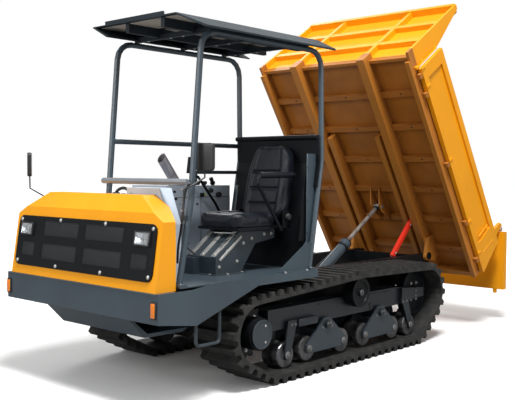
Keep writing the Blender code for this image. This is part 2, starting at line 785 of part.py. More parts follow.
def chassis():
    """Ladder frame between the tracks, with the bed hinge pins, ram plates and prop seat."""
    inner_x = RAIL_OUTER_X - RAIL_WIDTH
    rear_drop = [
        (RAIL_FRONT, RAIL_BOTTOM + 0.13),
        (RAIL_FRONT + 0.25, RAIL_BOTTOM),
        (RAIL_REAR - 0.45, RAIL_BOTTOM),
        (RAIL_REAR, RAIL_TOP - 0.13),
        (RAIL_REAR + 0.02, RAIL_TOP - 0.06),
        (RAIL_REAR - 0.01, RAIL_TOP),
        (RAIL_FRONT, RAIL_TOP),
    ]
    frame = place("chassis_frame", side_plate(rear_drop, (inner_x, RAIL_OUTER_X)), DARK)
    pieces = [side_plate(rear_drop, (-RAIL_OUTER_X, -inner_x))]
    across = (-inner_x - 0.02, inner_x + 0.02)
    for y, low, high in ((-2.16, 0.53, 0.70), (-1.30, 0.48, 0.70), (-0.60, 0.48, 0.70), (-0.02, 0.48, 0.70)):
        pieces.append(block(across, (y - 0.05, y + 0.05), (low, high)))
    pieces.append(block(across, (RAIL_REAR - 0.20, RAIL_REAR - 0.13), (RAIL_TOP - 0.14, RAIL_TOP - 0.010)))
    plate = [
        (0.02, RAIL_BOTTOM + 0.02),
        (RAM_FOOT_Y + 0.05, RAIL_BOTTOM + 0.02),
        (RAM_FOOT_Y + 0.06, RAM_FOOT_Z + 0.05),
        (RAM_FOOT_Y - 0.05, RAM_FOOT_Z + 0.09),
        (0.02, RAIL_TOP - 0.05),
    ]
    for side in (1, -1):
        pieces.append(side_plate(plate, mirrored((RAM_PLATE_X + 0.012, RAM_PLATE_X + 0.028), side)))
        pin = (RAIL_OUTER_X - 0.02, RAIL_OUTER_X + ARM_WIDTH + 4 * RUNNING_GAP)
        pieces.append(rod_x(HINGE_PIN_RADIUS, mirrored(pin, side), BED_HINGE_Y, BED_HINGE_Z, FINE_SIDES))
        washer = (RAIL_OUTER_X + ARM_WIDTH + 2 * RUNNING_GAP, RAIL_OUTER_X + ARM_WIDTH + 0.012)
        pieces.append(rod_x(HINGE_PIN_RADIUS + 0.014, mirrored(washer, side), BED_HINGE_Y, BED_HINGE_Z))
    foot_y, foot_z = prop_foot()
    seat_x = prop_span()
    pieces.append(
        block(
            (seat_x[0] + 0.006, inner_x + 0.02),
            (foot_y - 0.05, foot_y + 0.07),
            (foot_z - PROP_DEPTH - 0.035, foot_z - PROP_DEPTH * 0.75),
        )
    )
    return weld(frame, pieces)


def prop_span():
    """X limits of the safety prop, between the bed's inner and main rails."""
    middle = (INNER_RAIL_X + INNER_RAIL_WIDTH / 2 + BED_RAIL_X - BED_RAIL_WIDTH / 2) / 2
    return (middle - 0.019, middle + 0.019)


def raised(ahead, up):
    """World (Y, Z) of a point of the raised bed."""
    return (
        BED_HINGE_Y - ahead * math.cos(BED_TILT) + up * math.sin(BED_TILT),
        BED_HINGE_Z + ahead * math.sin(BED_TILT) + up * math.cos(BED_TILT),
    )


def prop_foot():
    y, z = raised(PROP_AHEAD, PROP_UP)
    return (y - PROP_LENGTH * math.cos(PROP_FALL), z - PROP_LENGTH * math.sin(PROP_FALL))


def deck():
    """Floor plate on cross beams, level with the top of the skirt."""
    floor = (DECK_TOP - DECK_PLATE, DECK_TOP)
    edge = DECK_HALF_WIDTH - SKIRT_SHEET - TOUCH_GAP
    piece = place("deck", block((-edge, edge), (HOOD_SIDE_REAR + 0.010, DECK_REAR), floor), SLATE)
    beams = []
    for y in (-2.15, -1.30, -0.83):
        beams.append(block((-0.70, 0.70), (y - 0.03, y + 0.03), (RAIL_TOP + TOUCH_GAP, DECK_TOP - 0.004)))
    return weld(piece, beams)


def skirt():
    """Folded sheet round the front and sides, under the hood and the deck."""
    side_line = [
        (SKIRT_FRONT + 0.002, SKIRT_BOTTOM),
        (-2.071, 0.548),
        (-1.465, DECK_TOP - 0.060),
        (DECK_REAR, DECK_TOP - 0.060),
        (DECK_REAR, DECK_TOP),
        (-1.915, DECK_TOP),
        (-2.10, SKIRT_TOP),
        (SKIRT_FRONT + 0.002, SKIRT_TOP),
    ]
    inner = DECK_HALF_WIDTH - SKIRT_SHEET
    front = block(
        (-inner - 0.003, inner + 0.003), (SKIRT_FRONT, SKIRT_FRONT + SKIRT_SHEET), (SKIRT_BOTTOM, SKIRT_TOP)
    )
    piece = place("skirt", front, SLATE)
    sides = [side_plate(side_line, mirrored((inner, DECK_HALF_WIDTH), side)) for side in (1, -1)]
    shelf = block(
        (-inner - 0.003, inner + 0.003),
        (SKIRT_FRONT + 0.003, SKIRT_FRONT + SKIRT_SHEET + 0.155),
        (SKIRT_TOP - SKIRT_SHEET, SKIRT_TOP),
    )
    underpan = [
        (SKIRT_FRONT + 0.02, SKIRT_BOTTOM + 0.03),
        (-2.20, 0.435),
        (-1.86, 0.43),
        (-1.80, 0.455),
        (-2.18, 0.46),
        (SKIRT_FRONT + 0.004, SKIRT_BOTTOM + 0.06),
    ]
    pan = side_plate(underpan, (-0.44, 0.50))
    return weld(piece, [*sides, shelf, pan])


def boarding_step():
    """Bent tube that hangs under the driver's side of the skirt."""
    inside = DECK_HALF_WIDTH - SKIRT_SHEET - STEP_RADIUS - TOUCH_GAP
    top = 0.60
    points = [
        (inside, STEP_FRONT, top),
        (inside, STEP_FRONT, STEP_BOTTOM),
        (inside, STEP_REAR, STEP_BOTTOM),
        (inside, STEP_REAR, top + 0.05),
    ]
    return place("boarding_step", tube(points, STEP_RADIUS, 0.03), SLATE)


def turn_lamp(name, side):
    """Amber lamp in a black housing on the skirt's front corner."""
    back = SKIRT_FRONT - TOUCH_GAP
    x = (TURN_LAMP_X - 0.028, TURN_LAMP_X + 0.022)
    housing = block(mirrored(x, side), (back - 0.010, back), (TURN_LAMP_Z - 0.056, TURN_LAMP_Z + 0.056))
    piece = place(name, housing, AMBER)
    lens = block(
        mirrored((x[0] + 0.008, x[1] - 0.008), side),
        (back - 0.018, back - 0.004),
        (TURN_LAMP_Z - 0.046, TURN_LAMP_Z + 0.046),
    )
    return weld(piece, [lens])


def hood_lean():
    """Angle by which the hood's front face leans back."""
    return math.atan2(HOOD_FOLD_Y - HOOD_FRONT, HOOD_FOLD_Z - HOOD_BOTTOM)


def hood():
    """Pressed shell with a leaning front, a sloped brow and chamfered shoulders; it tips forward."""
    shape = bmesh.new()
    bmesh.ops.create_cube(shape, size=1.0)
    spare = 0.03
    depth = HOOD_REAR - HOOD_FRONT + 2 * spare
    height = HOOD_RIDGE_Z - HOOD_BOTTOM + spare
    bmesh.ops.scale(shape, vec=(2 * HOOD_HALF_WIDTH, depth, height), verts=shape.verts)
    bmesh.ops.translate(
        shape, vec=(0, (HOOD_REAR + HOOD_FRONT) / 2, HOOD_RIDGE_Z - height / 2), verts=shape.verts
    )
    shoulder_run = HOOD_HALF_WIDTH - HOOD_RIDGE_HALF
    shoulder_rise = HOOD_RIDGE_Z - HOOD_SHOULDER_Z
    faces = [
        ((0, HOOD_FRONT, HOOD_BOTTOM), (0, -math.cos(hood_lean()), math.sin(hood_lean()))),
        (
            (0, HOOD_FOLD_Y, HOOD_FOLD_Z),
            (0, -(HOOD_RIDGE_Z - HOOD_FOLD_Z), HOOD_RIDGE_Y - HOOD_FOLD_Y),
        ),
        ((HOOD_HALF_WIDTH, 0, HOOD_SHOULDER_Z), (shoulder_rise, 0, shoulder_run)),
        ((-HOOD_HALF_WIDTH, 0, HOOD_SHOULDER_Z), (-shoulder_rise, 0, shoulder_run)),
    ]
    for point, normal in faces:
        everything = [*shape.verts, *shape.edges, *shape.faces]
        found = bmesh.ops.bisect_plane(
            shape, geom=everything, plane_co=point, plane_no=normal, clear_outer=True
        )
        rim = [item for item in found["geom_cut"] if isinstance(item, bmesh.types.BMEdge)]
        bmesh.ops.holes_fill(shape, edges=rim)
    bmesh.ops.recalc_face_normals(shape, faces=shape.faces)
    open_faces = [f for f in shape.faces if f.normal.z < -0.9 or f.normal.y > 0.9]
    bmesh.ops.delete(shape, geom=open_faces, context="FACES_ONLY")
    mesh = bpy.data.meshes.new("hood")
    shape.to_mesh(mesh)
    shape.free()
    piece = place("hood", mesh, YELLOW, (0, HOOD_FRONT, HOOD_BOTTOM))
    shell = piece.modifiers.new("sheet", "SOLIDIFY")
    shell.thickness = HOOD_SHEET
    shell.offset = -1.0
    shell.use_even_offset = True
    wide = HOOD_HALF_WIDTH + 0.05
    trims = [
        block((-wide, wide), (HOOD_FRONT - 0.05, HOOD_REAR + 0.08), (HOOD_BOTTOM - 0.08, HOOD_BOTTOM)),
        block((-wide, wide), (HOOD_REAR, HOOD_REAR + 0.081), (HOOD_BOTTOM - 0.081, HOOD_RIDGE_Z + 0.051)),
    ]
    for side in (1, -1):
        edge = [
            (HOOD_SIDE_REAR, HOOD_BOTTOM - 0.082),
            (HOOD_REAR + 0.082, HOOD_BOTTOM - 0.082),
            (HOOD_REAR + 0.082, HOOD_RIDGE_Z + 0.052),
            (HOOD_SIDE_REAR - 0.01, HOOD_RIDGE_Z + 0.052),
            (HOOD_SIDE_REAR, HOOD_BOTTOM + 0.33),
        ]
        trims.append(side_plate(edge, mirrored((HOOD_RIDGE_HALF + 0.14, wide + 0.001), side)))
    return cut(piece, trims)


def leaned(mesh):
    """Turns an upright plate, modelled at the hood's bottom edge, to lie on the leaning face."""
    hinge = Vector((0, HOOD_FRONT, HOOD_BOTTOM))
    mesh.transform(
        Matrix.Translation(hinge) @ Matrix.Rotation(-hood_lean(), 4, "X") @ Matrix.Translation(-hinge)
    )
    return mesh


def rounded_rectangle(x_span, z_span, radius, steps=3):
    points = []
    corners = (
        (x_span[1] - radius, z_span[0] + radius, -90),
        (x_span[1] - radius, z_span[1] - radius, 0),
        (x_span[0] + radius, z_span[1] - radius, 90),
        (x_span[0] + radius, z_span[0] + radius, 180),
    )
    for x, z, start in corners:
        for i in range(steps + 1):
            angle = math.radians(start + 90 * i / steps)
            points.append((x + radius * math.cos(angle), z + radius * math.sin(angle)))
    return points


def grille_windows():
    """X and Z limits of the six mesh windows."""
    rows = ((0.915, 1.030), (1.085, 1.195))
    windows = []
    for x_span in ((-0.46, -0.04), (0.04, 0.46)):
        windows += [(x_span, z_span) for z_span in rows]
    windows += [((-0.72, -0.56), (0.93, 1.03)), ((0.56, 0.72), (0.93, 1.03))]
    return windows


def grille():
    """Black panel bolted to the hood's face, with sunk mesh windows."""
    outline = rounded_rectangle((-GRILLE_HALF_WIDTH, GRILLE_HALF_WIDTH), (GRILLE_BOTTOM, GRILLE_TOP), 0.05)
    back = HOOD_FRONT - TOUCH_GAP
    panel = leaned(front_plate(outline, (back - GRILLE_THICKNESS, back)))
    piece = place("grille_panel", panel, DARK, (0, HOOD_FRONT, HOOD_BOTTOM))
    recess = back - GRILLE_THICKNESS * 0.5
    sinks = [leaned(block(x, (back - 0.05, recess), z)) for x, z in grille_windows()]
    return cut(piece, sinks)


def headlamp(name, side):
    """Rectangular work lamp on the grille's upper corner."""
    back = HOOD_FRONT - 2 * TOUCH_GAP - GRILLE_THICKNESS
    outline = rounded_rectangle(
        (side * LAMP_X - LAMP_WIDTH / 2, side * LAMP_X + LAMP_WIDTH / 2),
        (LAMP_Z - LAMP_HEIGHT / 2, LAMP_Z + LAMP_HEIGHT / 2),
        0.012,
        2,
    )
    lamp = leaned(front_plate(outline, (back - 0.016, back)))
    return place(name, lamp, LAMP_GLASS, (0, HOOD_FRONT, HOOD_BOTTOM))


def engine_cover():
    """Boxed cover over the engine with the console on it and the cowl behind the hood; open below."""
    floor = DECK_TOP + TOUCH_GAP
    cowl_line = [
        (COWL_FAR_X, floor),
        (COWL_NEAR_X, floor),
        (COWL_NEAR_X, COWL_BEND_Z),
        (COWL_TOP_X, COVER_TOP),
        (COWL_FAR_X, COVER_TOP),
    ]
    piece = place("engine_cover", front_plate(cowl_line, (COVER_FRONT, COWL_REAR)), PALE)
    wall = COVER_WALL
    engine_box = block((COVER_FAR_X, COVER_NEAR_X), (COVER_FRONT + 0.001, COVER_REAR), (floor, LOW_COVER_TOP))
    console = block(
        (CONSOLE_FAR_X, COVER_NEAR_X - 0.001),
        (CONSOLE_FRONT, COVER_REAR - 0.001),
        (LOW_COVER_TOP - 0.05, COVER_TOP),
    )
    bridge = block(
        (COVER_NEAR_X - 0.02, COWL_FAR_X + 0.02),
        (COVER_FRONT + 0.002, COWL_REAR - 0.001),
        (floor, LOW_COVER_TOP - 0.04),
    )
    weld(piece, [engine_box, console, bridge])
    bay = block(
        (COVER_FAR_X + wall, COVER_NEAR_X - wall),
        (COVER_FRONT + 0.001 + wall, COVER_REAR - wall),
        (floor - 0.05, LOW_COVER_TOP - wall),
    )
    desk = block(
        (CONSOLE_FAR_X + wall, COVER_NEAR_X - 0.001 - wall),
        (CONSOLE_FRONT + wall, COVER_REAR - 0.001 - wall),
        (LOW_COVER_TOP - 0.06, COVER_TOP - wall),
    )
    cowl_inside = [
        (COWL_FAR_X + wall, floor - 0.051),
        (COWL_NEAR_X - wall, floor - 0.051),
        (COWL_NEAR_X - wall, COWL_BEND_Z - 0.004),
        (COWL_TOP_X - wall, COVER_TOP - wall),
        (COWL_FAR_X + wall, COVER_TOP - wall),
    ]
    hollow = front_plate(cowl_inside, (COVER_FRONT + wall, COWL_REAR - wall))
    hose_gap = block((-0.42, -0.03), (COVER_FRONT - 0.02, COVER_FRONT + 0.03), (floor - 0.04, floor + 0.06))
    return cut(piece, [bay, desk, hollow, hose_gap])


def power_pack():
    """Engine and pump on a subframe that also carries the radiator behind the grille."""
    floor = DECK_TOP + 2 * TOUCH_GAP
    piece = place("power_pack", block((-0.36, -0.06), (-2.20, -1.05), (floor, floor + 0.035)), DARK)
    sump = block((-0.58, -0.18), (-1.72, -1.10), (floor + 0.02, 1.06))
    head = block((-0.52, -0.24), (-1.66, -1.16), (1.05, 1.30))
    pump = rod_x(0.075, (-0.20, -0.05), -1.30, 1.00)
    radiator = block((-0.36, 0.30), (-2.205, -2.142), (floor + 0.01, 1.27))
    subframe = block((-0.62, -0.10), (-1.74, -1.08), (floor + 0.005, floor + 0.030))
    pipe = bar((-0.36, -1.40, 1.28), (-0.36, -1.40, COVER_TOP - COVER_WALL - 0.002), 0.035)
    return weld(piece, [sump, head, pump, radiator, subframe, pipe])


def exhaust():
    """Bent tail pipe on the cover, cut off at a slant."""
    foot = Vector((-0.12, -1.345, COVER_TOP + TOUCH_GAP))
    direction = Vector((-0.02, -0.42, 0.56)).normalized()
    top = foot + direction * 0.31
    piece = place("exhaust_stack", bar(foot + Vector((0, 0, 0.029)), top, 0.040), STEEL)
    half = 0.055
    flange = block((foot.x - half, foot.x + half), (foot.y - half, foot.y + half), (foot.z, foot.z + 0.034))
    weld(piece, [flange])
    slant = block((-0.2, 0.2), (-0.2, 0.2), (0, 0.2))
    slant.transform(Matrix.Translation(top - direction * 0.045) @ Matrix.Rotation(math.radians(8), 4, "X"))
    return cut(piece, [slant])


def hoop(name, x, front_foot, front_from):
    """One side of the canopy frame: front leg, top tube and rear leg bent from one pipe."""
    points = [
        (x, front_foot, front_from),
        (x, FRONT_KNEE_Y, FRONT_KNEE_Z),
        (x, FRONT_TOP_Y, HOOP_TOP_Z),
        (x, REAR_TOP_Y, HOOP_TOP_Z),
        (x, REAR_KNEE_Y, REAR_KNEE_Z),
        (x, REAR_FOOT_Y, DECK_TOP + 0.012),
    ]
    if front_from > FRONT_KNEE_Z - 0.05:
        points.pop(1)
    return place(name, tube(points, TUBE_RADIUS, HOOP_BEND), SLATE)


def near_hoop():
    piece = hoop("canopy_hoop_left", HOOP_NEAR_X, FRONT_FOOT_Y, DECK_TOP + 0.012)
    feet = []
    for y in (FRONT_FOOT_Y, REAR_FOOT_Y):
        feet.append(
            block(
                (HOOP_NEAR_X - 0.036, HOOP_NEAR_X + 0.036),
                (y - 0.030, y + 0.034),
                (DECK_TOP + TOUCH_GAP, DECK_TOP + 0.016),
            )
        )
    gusset = [
        (-1.19, DECK_TOP + TOUCH_GAP),
        (REAR_FOOT_Y, DECK_TOP + TOUCH_GAP),
        (REAR_FOOT_Y + 0.045, DECK_TOP + 0.21),
        (-0.875, DECK_TOP + 0.205),
        (-1.17, DECK_TOP + 0.03),
    ]
    feet.append(side_plate(gusset, (HOOP_NEAR_X - 0.006, HOOP_NEAR_X + 0.006)))
    shelf_z = (DECK_TOP + TOUCH_GAP, DECK_TOP + 0.008)
    shelf = block((HOOP_NEAR_X - 0.03, HOOP_NEAR_X + 0.03), (-1.17, -0.86), shelf_z)
    return weld(piece, [*feet, shelf])


def far_hoop():
    """Its front leg stands on the engine cover, and it carries the two side rails."""
    base = LOW_COVER_TOP + TOUCH_GAP
    foot_y = FRONT_KNEE_Y + 0.003
    piece = hoop("canopy_hoop_right", HOOP_FAR_X, foot_y, base + 0.006)
    x = HOOP_FAR_X
    foot = block((x - 0.040, x + 0.040), (foot_y - 0.040, foot_y + 0.046), (base, base + 0.010))
    upper = bar((x, hoop_front_y(UPPER_RAIL_Z), UPPER_RAIL_Z), (x, REAR_KNEE_Y, UPPER_RAIL_Z), 0.019, 12)
    lower = bar((x, -1.22, LOWER_RAIL_Z), (x, -0.71, LOWER_RAIL_Z), 0.015, 12)
    drop = bar((x, -1.21, LOWER_RAIL_Z), (x, -1.21, COVER_TOP + 0.004), 0.013, 12)
    return weld(piece, [foot, upper, lower, drop])


def hoop_front_y(z):
    """Y of the front legs' centre line above the knee."""
    share = (z - FRONT_KNEE_Z) / (HOOP_TOP_Z - FRONT_KNEE_Z)
    return FRONT_KNEE_Y + share * (FRONT_TOP_Y - FRONT_KNEE_Y)


def front_rail():
    """Bowed grab rail between the two front legs."""
    y = hoop_front_y(FRONT_RAIL_Z) - TUBE_RADIUS * 2 - TOUCH_GAP
    count = 8
    points = []
    for i in range(count + 1):
        share = i / count
        x = HOOP_FAR_X - 0.012 + share * (HOOP_NEAR_X - HOOP_FAR_X + 0.012)
        points.append((x, y - FRONT_RAIL_BOW * math.sin(math.pi * share), FRONT_RAIL_Z))
    piece = place("front_rail", tube(points, TUBE_RADIUS), STEEL)
    face = hoop_front_y(FRONT_RAIL_Z - 0.012) - TUBE_RADIUS
    tabs = []
    for x in (HOOP_FAR_X, HOOP_NEAR_X):
        tab_z = (FRONT_RAIL_Z - 0.012, FRONT_RAIL_Z)
        tabs.append(block((x - 0.009, x + 0.009), (y, face - TOUCH_GAP), tab_z))
    return weld(piece, tabs)


def roof():
    """Folded sheet roof with a sloped near side, a tucked-in far side and cross bars."""
    near, far = ROOF_NEAR_X, ROOF_FAR_X
    top, edge, sheet = ROOF_TOP_Z, ROOF_EDGE_Z, ROOF_SHEET
    section = [
        (far, top),
        (near - ROOF_SLOPE, top),
        (near, edge),
        (near, edge - 0.012),
        (near - 0.010, edge - 0.012),
        (near - ROOF_SLOPE - 0.004, top - sheet),
        (far + 0.030, top - sheet),
        (far + ROOF_TUCK + 0.004, edge + 0.006),
        (far + ROOF_TUCK, edge - 0.002),
        (far, top - sheet),
    ]
    piece = place("canopy_roof", front_plate(section, (ROOF_FRONT, ROOF_REAR)), SLATE)
    low = HOOP_TOP_Z + TUBE_RADIUS + TOUCH_GAP
    bars = []
    for y in (FRONT_TOP_Y + HOOP_BEND + 0.05, (FRONT_TOP_Y + REAR_TOP_Y) / 2, REAR_TOP_Y - HOOP_BEND - 0.05):
        reach = (HOOP_FAR_X - 0.01, HOOP_NEAR_X + 0.01)
        bars.append(block(reach, (y - 0.020, y + 0.020), (low, low + 0.034)))
    for x in (0.20, 0.57):
        length = (ROOF_FRONT + 0.03, ROOF_REAR - 0.03)
        bars.append(block((x - 0.018, x + 0.018), length, (low + 0.010, top - 0.004)))
    lip = (ROOF_FRONT + 0.001, ROOF_FRONT + 0.018)
    bars.append(block((far + 0.14, 0.60), lip, (top - 0.006, top + 0.024)))
    weld(piece, bars)
    ahead = ROOF_FRONT - 0.02
    corner = slab(
        [[(near - ROOF_SLOPE, ahead), (near + 0.05, ahead), (near + 0.05, ROOF_FRONT + 0.15)]],
        0.3,
        Matrix.Translation((0, 0, edge)),
    )
    return cut(piece, [corner])


def rear_leg_y(z):
    """Y of the rear legs' centre line below the knee."""
    share = (z - DECK_TOP - 0.012) / (REAR_KNEE_Z - DECK_TOP - 0.012)
    return REAR_FOOT_Y + share * (REAR_KNEE_Y - REAR_FOOT_Y)


def guard_panel():
    """Steel panel on the front of the rear legs, with its top tube and the wing beside the near leg."""
    off = TUBE_RADIUS * 1.04 + 0.002
    thick = 0.012
    over = COVER_TOP + TOUCH_GAP
    knee = REAR_KNEE_Z - 0.02
    upper_line = [
        (rear_leg_y(over) - off - thick, over),
        (rear_leg_y(over) - off, over),
        (rear_leg_y(knee) - off, knee),
        (REAR_TOP_Y - off, GUARD_TOP),
        (REAR_TOP_Y - off - thick, GUARD_TOP),
        (rear_leg_y(knee) - off - thick, knee),
    ]
    x = (HOOP_FAR_X + 0.020, HOOP_NEAR_X + 0.010)
    piece = place("guard_panel", side_plate(upper_line, x), DARK)
    base = DECK_TOP + TOUCH_GAP
    lower_line = [
        (rear_leg_y(base) - off - thick, base),
        (rear_leg_y(base) - off, base),
        (rear_leg_y(over + 0.05) - off - 0.0003, over + 0.05),
        (rear_leg_y(over + 0.05) - off - thick + 0.0003, over + 0.05),
    ]
    low = side_plate(lower_line, (COVER_NEAR_X + 0.003, x[1] - 0.050))
    rail = rod_x(0.019, x, REAR_TOP_Y - off - 0.020, GUARD_TOP, 12)
    wing = [
        (rear_leg_y(1.03) - off - 0.085, 1.03),
        (rear_leg_y(1.03) - off - 0.004, 1.03),
        (rear_leg_y(1.60) - off - 0.004, 1.60),
        (rear_leg_y(1.60) - off - 0.004, 1.70),
        (rear_leg_y(1.60) - off - 0.085, 1.69),
    ]
    side = side_plate(wing, (x[1] - 0.060, x[1] - 0.054))
    return weld(piece, [low, rail, side])


def seat_pedestal():
    """Folded steel box that leans forward under the seat, with the lever box at its foot."""
    floor = DECK_TOP + TOUCH_GAP
    top = CUSHION_BOTTOM - SEAT_PAN - 0.012 - TOUCH_GAP
    body = [
        (-1.62, floor),
        (-1.36, floor),
        (-1.20, 1.02),
        (-0.98, 1.05),
        (-0.98, top),
        (-1.38, top),
        (-1.62, 0.94),
    ]
    piece = place("seat_pedestal", side_plate(body, (SEAT_X - 0.15, SEAT_X + 0.15)), SLATE)
    box = block((SEAT_X - 0.17, SEAT_X - 0.02), (-1.68, -1.60), (floor, floor + 0.12))
    rails = [
        block((SEAT_X + x - 0.016, SEAT_X + x + 0.016), (-1.40, -0.97), (top - 0.006, top + 0.012))
        for x in (-0.12, 0.12)
    ]
    flange = block((SEAT_X - 0.18, SEAT_X + 0.18), (-1.65, -1.33), (floor, floor + 0.006))
    return weld(piece, [box, flange, *rails])


def pad(name, width, length, thickness, channels, crown, origin, parent_turn, paint):
    """A crowned cushion with drawn-in sides and sewn channels, from a coarse cage."""
    columns, rows = 8, 10
    shape = bmesh.new()
    bmesh.ops.create_grid(shape, x_segments=columns, y_segments=rows, size=0.5)
    bmesh.ops.scale(shape, vec=(width, length, 1.0), verts=shape.verts)
    pushed = bmesh.ops.extrude_face_region(shape, geom=shape.faces[:])
    upper = [v for v in pushed["geom"] if isinstance(v, bmesh.types.BMVert)]
    for vert in upper:
        u, v = 2 * vert.co.x / width, 2 * vert.co.y / length
        rise = thickness - crown * (u**4 + v**4) / 2
        if any(abs(v - c) < 1.1 / rows for c in channels) and abs(u) < 0.9:
            rise -= 0.012
        vert.co.z = rise
    half_wide, half_long = width / 2, length / 2
    for vert in shape.verts:
        if abs(abs(vert.co.x) - half_wide) > 1e-5 and abs(abs(vert.co.y) - half_long) > 1e-5:
            continue
        squeeze = 0.965 if vert.co.z < thickness * 0.3 else 0.985
        vert.co.x *= squeeze
        vert.co.y *= squeeze
    bmesh.ops.recalc_face_normals(shape, faces=shape.faces)
    mesh = bpy.data.meshes.new(name)
    shape.to_mesh(mesh)
    shape.free()
    mesh.transform(parent_turn)
    piece = place(name, mesh, paint, origin)
    smooth = piece.modifiers.new("round", "SUBSURF")
    smooth.levels = 1
    smooth.render_levels = 1
    return piece


def seat_cushion():
    middle = SEAT_FRONT + CUSHION_LENGTH / 2
    turn = Matrix.Translation((SEAT_X, middle, CUSHION_BOTTOM))
    return pad(
        "seat_cushion",
        SEAT_WIDTH,
        CUSHION_LENGTH,
        CUSHION_THICKNESS,
        (-0.4, 0.1),
        0.03,
        (SEAT_X, middle, CUSHION_BOTTOM),
        turn,
        VINYL,
    )


def seat_pan():
    """Steel pan that slides on the pedestal's rails and carries the cushion, back and armrest."""
    z = CUSHION_BOTTOM - TOUCH_GAP
    middle = SEAT_FRONT + CUSHION_LENGTH / 2
    half = SEAT_WIDTH / 2 - 0.012
    low = z - SEAT_PAN + 0.0006
    piece = place(
        "seat_pan",
        block((SEAT_X - half, SEAT_X + half), (SEAT_FRONT + 0.03, middle + 0.24), (low, z)),
        DARK,
        (SEAT_X, middle, z),
    )
    ears = []
    for side in (1, -1):
        ear = [
            (BACK_PIVOT_Y - 0.045, low + 0.002),
            (BACK_PIVOT_Y + 0.045, low + 0.002),
            (BACK_PIVOT_Y + 0.035, BACK_PIVOT_Z + 0.045),
            (BACK_PIVOT_Y - 0.035, BACK_PIVOT_Z + 0.045),
        ]
        span = (SEAT_X + side * (SEAT_WIDTH / 2 + 0.004), SEAT_X + side * (SEAT_WIDTH / 2 + 0.012))
        ears.append(side_plate(ear, (min(span), max(span))))
        link = (SEAT_X + side * (half - 0.01), SEAT_X + side * (SEAT_WIDTH / 2 + 0.010))
        run = (middle + 0.20, BACK_PIVOT_Y + 0.04)
        ears.append(block((min(link), max(link)), run, (low + 0.003, z - 0.003)))
    return weld(piece, ears)


def seat_back():
    """Reclining backrest on a cross tube between the seat pan's ears, with the armrest's boss."""
    turn = (
        Matrix.Translation((SEAT_X, BACK_PIVOT_Y, BACK_PIVOT_Z))
        @ Matrix.Rotation(-BACK_LEAN, 4, "X")
        @ Matrix.Translation((0, BACK_THICKNESS / 2, BACK_HEIGHT / 2 - 0.03))
        @ Matrix.Rotation(math.pi / 2, 4, "X")
    )
    piece = pad(
        "seat_back",
        SEAT_WIDTH - 0.004,
        BACK_HEIGHT,
        BACK_THICKNESS,
        (-0.2, 0.45),
        0.035,
        (SEAT_X, BACK_PIVOT_Y, BACK_PIVOT_Z),
        turn,
        VINYL,
    )
    reach = SEAT_WIDTH / 2 + 0.004 - TOUCH_GAP
    cross_tube = rod_x(0.014, (SEAT_X - reach, SEAT_X + reach), BACK_PIVOT_Y, BACK_PIVOT_Z, 12)
    boss = rod_x(0.018, (SEAT_X + 0.12, ARMREST_X - 0.0155), *ARMREST_PIVOT, 12)
    return weld(piece, [cross_tube, boss])


def armrest():
    """Bent tube that flips up beside the driver's left hip."""
    x = ARMREST_X
    rear = (x, *ARMREST_PIVOT)
    points = [rear, (x, -1.34, 1.53), (x, -1.02, 1.115)]
    piece = place("armrest", tube(points, 0.013, 0.05), SLATE, (x, rear[1], rear[2]))
    padding = bar((x, -1.24, 1.532), (x, -0.92, 1.535), 0.021, 12)
    link = rod_x(0.018, (x - 0.0152, x + 0.013), *ARMREST_PIVOT, 12)
    return weld(piece, [padding, link])


def lever(name, x, y, base_z, top, radius, grip_radius, grip_length):
    """A hand lever with its grip, pivoting on the cover."""
    foot = Vector((x, y, base_z))
    tip = Vector(top)
    direction = (tip - foot).normalized()
    piece = place(name, bar(foot, tip, radius, 10), DARK, tuple(foot))
    grip = bar(tip - direction * 0.01, tip + direction * grip_length, grip_radius, 12)
    hub = rod_x(0.020, (x - 0.010, x + 0.010), y, base_z, 12)
    return weld(piece, [grip, hub])


def levers():
    hub = (COVER_NEAR_X + 0.055, -1.022, 1.205)
    stem = tube([hub, (0.075, -1.110, 1.300), (0.120, -1.345, 1.515), (0.120, -1.452, 1.560)], 0.010, 0.03)
    travel = place("travel_lever", stem, DARK, hub)
    pivot = rod_x(0.026, (COVER_NEAR_X + TOUCH_GAP, COVER_NEAR_X + 0.070), hub[1], hub[2], 12)
    grip = bar((0.120, -1.450, 1.545), (0.120, -1.432, 1.668), 0.017, 12)
    weld(travel, [pivot, grip])
    top = COVER_TOP + TOUCH_GAP + 0.020
    dump_x = COVER_NEAR_X - 0.05
    lever("dump_lever", dump_x, -1.02, top, (dump_x, -1.035, top + 0.030), 0.008, 0.017, 0.012)


def mirror(name, base, points, head_at, turn_z, foot):
    """Mirror head on a bent rod; the whole arm swivels about its foot."""
    piece = place(name, tube([base, *points], MIRROR_ROD, 0.03), DARK, base)
    head = block(
        (-MIRROR_WIDTH / 2, MIRROR_WIDTH / 2),
        (-MIRROR_DEPTH / 2, MIRROR_DEPTH / 2),
        (-MIRROR_HEIGHT / 2, MIRROR_HEIGHT / 2),
    )
    head.transform(Matrix.Translation(head_at) @ Matrix.Rotation(turn_z, 4, "Z"))
    return weld(piece, [head, foot])


def mirrors():
    x, y = HOOP_NEAR_X, -2.150
    mirror(
        "mirror_left",
        (x, y, 1.260),
        [(x, y, 1.440), (x + 0.042, -2.10, 1.475), (x + 0.042, -2.000, 1.520), (x + 0.038, -1.995, 1.60)],
        (x + 0.036, -1.992, 1.655),
        math.radians(10),
        bar((x, y, 1.243), (x, y, 1.275), 0.0194),
    )
    wall = COVER_FAR_X - TOUCH_GAP
    mirror(
        "mirror_right",
        (wall - 0.014, -2.105, 1.315),
        [(wall - 0.014, -2.125, 1.36), (wall - 0.078, -2.205, 1.42), (wall - 0.075, -2.210, 1.56)],
        (wall - 0.075, -2.210, 1.605),
        math.radians(-35),
        bar((wall - 0.014, -2.105, 1.300), (wall - 0.014, -2.105, 1.330), 0.0137),
    )


